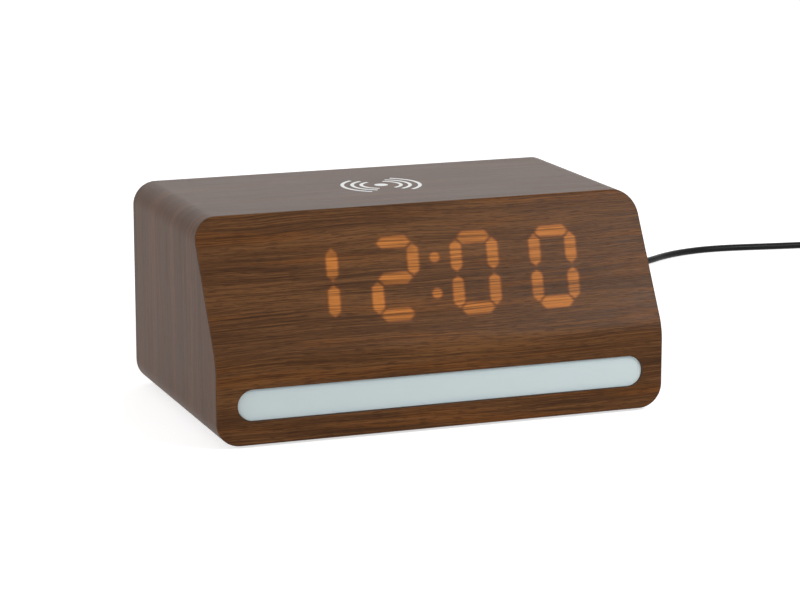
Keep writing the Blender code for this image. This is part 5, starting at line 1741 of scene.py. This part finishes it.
@dataclass
class FlatPlug:
    """The flat plug at the cord's far end: moulded grip, plated shell, tongue and four contacts."""

    corner: float = 0.0020
    edge: float = 0.0007
    window: float = 0.0022
    window_pitch: float = 0.0067
    window_place: float = 0.0052
    contact_count: int = 4
    contact_width: float = 0.0010
    contact_pitch: float = 0.0024
    contact_ends: tuple[float, float] = (0.0008, 0.0085)
    contact_height: float = 0.0001

    def build(self) -> list[bpy.types.Object]:
        """Models and dresses the plug.

        Returns:
            Its pieces.
        """
        low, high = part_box("usb_grip")
        shell_low, shell_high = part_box("usb_shell")
        middle = (shell_low + shell_high) / 2
        grip = rounded_block("flat_plug_grip", low, high, self.corner)
        soften(grip, self.edge, lambda start, end: abs(start.y - end.y) < NEAR)
        pocket = rounded_block("shell_pocket", shell_low - Vector((0, OVERRUN, 0)), shell_high, 0)
        join(grip, Join.CUT, pocket)
        dress(smooth(grip), VINYL, stands_for=["usb_grip"])
        shell = refined("usb_shell", "flat_plug_shell")
        for side in (-1, 1):
            x, y = middle.x + side * self.window_pitch / 2, shell_low.y + self.window_place
            start = (x - self.window / 2, y, shell_low.z - OVERRUN)
            end = (x + self.window / 2, y + self.window, shell_high.z + OVERRUN)
            join(shell, Join.CUT, rounded_block("shell_window", start, end, 0))
        dress(smooth(shell), NICKEL, stands_for=["usb_shell"])
        tongue = dress(smooth(refined("usb_tongue", "flat_plug_tongue")), WHITE_ABS, stands_for=["usb_tongue"])
        return [grip, shell, tongue, *self.contacts()]

    def contacts(self) -> list[bpy.types.Object]:
        """The contact strips on the tongue, modelled once and copied.

        Returns:
            The strips.
        """
        low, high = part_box("usb_tongue")
        first = (low.x + high.x - (self.contact_count - 1) * self.contact_pitch) / 2
        start, end = (low.y + place for place in self.contact_ends)
        half, height = self.contact_width / 2, self.contact_height
        strip = rounded_block(
            "flat_plug_contact_1", (first - half, start, low.z - height), (first + half, end, low.z + height), 0
        )
        soften(strip, height / 2, lambda start, end: max(start.z, end.z) < low.z)
        strips = [smooth(strip)]
        for index in range(1, self.contact_count):
            shift = Vector((index * self.contact_pitch, 0, 0))
            strips.append(copied(strip, f"flat_plug_contact_{index + 1}", shift))
        return [dress(strip, GOLD) for strip in strips]


@dataclass
class Inside:
    """The CAD nodes that keep their own shape, each given the finish of what it is."""

    def build(self) -> None:
        """Dresses the nodes inside the case, and what shows of them."""
        finishes: dict[str, Finish] = {
            "case_shell": FIBREBOARD,
            "front_panel": FIBREBOARD,
            "colon_guide": LIT_ACRYLIC,
            "display_reflector": WHITE_ABS,
            "display_board": BOARD,
            "light_bar_trough": WHITE_ABS,
            "light_bar_board": BOARD,
            "charging_coil": COPPER,
            "ferrite_sheet": FERRITE,
            "charger_tray": ABS,
            "charger_board": BOARD,
            "control_board": BOARD,
            "buzzer": ABS,
            "coin_cell": NICKEL,
            "battery_contact": NICKEL,
            "plug_barrel": NICKEL,
        }
        for name, count, finish in (
            ("digit", len(Readout.digits), LIT_ACRYLIC), ("switch", len(KEYS), GLOSS_ABS),
            ("tray_screw", TRAY_SCREWS, NICKEL),
        ):
            finishes |= {f"{name}_{index}": finish for index in range(1, count + 1)}
        for node, finish in finishes.items():
            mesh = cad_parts[node].data
            mesh.materials.clear()
            mesh.materials.append(finish.material())
            LOG.info("%s: %s", node, finish.name)
        for lead in LEADS:
            sleeve = refined(lead, f"{lead}_sleeve")
            apply(sleeve, "SUBSURF", levels=1, render_levels=1)
            activate(sleeve)
            bpy.ops.object.shade_smooth()
            dress(sleeve, VINYL, stands_for=[lead])


# The studio


@dataclass(frozen=True)
class Viewpoint:
    """The camera, worked out from the straight edges of the case in the photograph."""

    place: tuple[float, float, float] = (-0.3879, -1.05225, 0.28339)
    bearing: float = math.radians(20.3506)
    dip: float = math.radians(12.3290)
    roll: float = math.radians(-0.0518)
    lens_mm: float = 131.271
    film_mm: float = 36.0
    nearest: float = 0.01

    def build(self) -> bpy.types.Object:
        """Sets the camera up.

        Returns:
            The camera.
        """
        data = bpy.data.cameras.new("photo_camera")
        data.sensor_fit = "HORIZONTAL"
        data.sensor_width = self.film_mm
        data.lens = self.lens_mm
        data.clip_start = self.nearest
        camera = bpy.data.objects.new("photo_camera", data)
        bpy.context.scene.collection.objects.link(camera)
        aim = Matrix.Rotation(-self.bearing, 4, "Z") @ Matrix.Rotation(math.pi / 2 - self.dip, 4, "X")
        camera.matrix_world = Matrix.Translation(self.place) @ aim @ Matrix.Rotation(self.roll, 4, "Z")
        bpy.context.scene.camera = camera
        return camera


class LampKind(Enum):
    """A lamp that is near and square, or one so far away that it lights everything alike."""

    SOFTBOX = "AREA"
    SKY = "SUN"


@dataclass(frozen=True)
class Lamp:
    """A lamp that points at the clock."""

    name: str
    kind: LampKind
    place: tuple[float, float, float]
    power: float
    size: float
    aim: tuple[float, float, float] = (0.0, 0.0, 0.04)

    def build(self) -> bpy.types.Object:
        """Hangs the lamp.

        Returns:
            The lamp.
        """
        data = bpy.data.lights.new(self.name, self.kind.value)
        data.energy = self.power
        if self.kind is LampKind.SKY:
            data.angle = self.size
        else:
            data.size = self.size
        lamp = bpy.data.objects.new(self.name, data)
        bpy.context.scene.collection.objects.link(lamp)
        look = Vector(self.aim) - Vector(self.place)
        lamp.matrix_world = Matrix.Translation(self.place) @ look.to_track_quat("-Z", "Y").to_matrix().to_4x4()
        return lamp


@dataclass(frozen=True)
class Studio:
    """A pale floor that turns white to the camera, a white surround and plain soft lamps."""

    floor_side: float = 9.0
    floor_shade: str = "#e9e9e9"
    floor_lift: float = 0.64
    world_level: float = 0.38
    lamps: tuple[Lamp, ...] = (
        Lamp("left_skylight", LampKind.SKY, (-1.5, -0.5, 0.40), 1.9, math.radians(50)),
        Lamp("rear_skylight", LampKind.SKY, (0.6, 1.6, 0.6), 0.55, math.radians(60)),
        Lamp("front_right_softbox", LampKind.SOFTBOX, (0.44, -0.52, 0.48), 3.0, 0.20),
    )

    def seen(self, tree: bpy.types.NodeTree) -> bpy.types.NodeSocket:
        """Tells rays from the camera, from mirrors and through glass from those that light the object.

        Args:
            tree: the nodes of a material or of the world.

        Returns:
            One for the rays that show the background, or else zero.
        """
        path = add_node(tree, "LightPath")
        direct = add_node(
            tree, "Math", {0: path.outputs["Is Camera Ray"], 1: path.outputs["Is Glossy Ray"]}, operation="MAXIMUM"
        )
        return add_node(
            tree, "Math", {0: direct.outputs[0], 1: path.outputs["Is Transmission Ray"]}, operation="MAXIMUM"
        ).outputs[0]

    def floor(self) -> bpy.types.Object:
        """Lays the floor, which keeps the clock's shadow.

        Returns:
            The floor.
        """
        start_new()
        bpy.ops.mesh.primitive_plane_add(size=self.floor_side, location=(0, 0, -NEAR))
        floor = settle("studio_floor")
        material = bpy.data.materials.new("matt_white_floor")
        material.use_nodes = True
        tree = material.node_tree
        tree.nodes.clear()
        matt = add_node(tree, "BsdfDiffuse", {"Color": linear(self.floor_shade)})
        lift = add_node(tree, "Math", {0: self.seen(tree), 1: self.floor_lift}, operation="MULTIPLY")
        glow = add_node(tree, "Emission", {"Color": (1, 1, 1, 1), "Strength": lift.outputs[0]})
        both = add_node(tree, "AddShader", {0: matt.outputs[0], 1: glow.outputs[0]})
        add_node(tree, "OutputMaterial", {"Surface": both.outputs[0]})
        floor.data.materials.append(material)
        return floor

    def surround(self) -> bpy.types.World:
        """Makes the world: white where it is seen, and dimmer as a light.

        Returns:
            The world.
        """
        world = bpy.data.worlds.new("white_surround")
        world.use_nodes = True
        tree = world.node_tree
        tree.nodes.clear()
        strength = add_node(
            tree, "MapRange", {"Value": self.seen(tree), "To Min": self.world_level, "To Max": 1.0}
        )
        white = add_node(tree, "Background", {"Color": (1, 1, 1, 1), "Strength": strength.outputs[0]})
        add_node(tree, "OutputWorld", {"Surface": white.outputs[0]})
        bpy.context.scene.world = world
        return world

    def build(self) -> None:
        """Sets up the floor, the surround, the lamps and the plain view transform."""
        self.floor()
        self.surround()
        for lamp in self.lamps:
            lamp.build()
            LOG.info("%s: %s, power %.1f", lamp.name, lamp.kind.name, lamp.power)
        bpy.context.scene.view_settings.view_transform = "Standard"


def main() -> None:
    """Builds the camera, the cord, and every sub-assembly and the studio."""
    logging.basicConfig(level=logging.INFO, format="%(name)s: %(message)s")
    Viewpoint().build()
    PowerCord().build()
    shape = FrontShape()
    Foil(shape, Readout(shape.face_length)).build()
    LightBar().build()
    ChargingMark(shape).build()
    Foot().build()
    Rear().build()
    Inside().build()
    Studio().build()


if __name__ == "__main__":
    main()
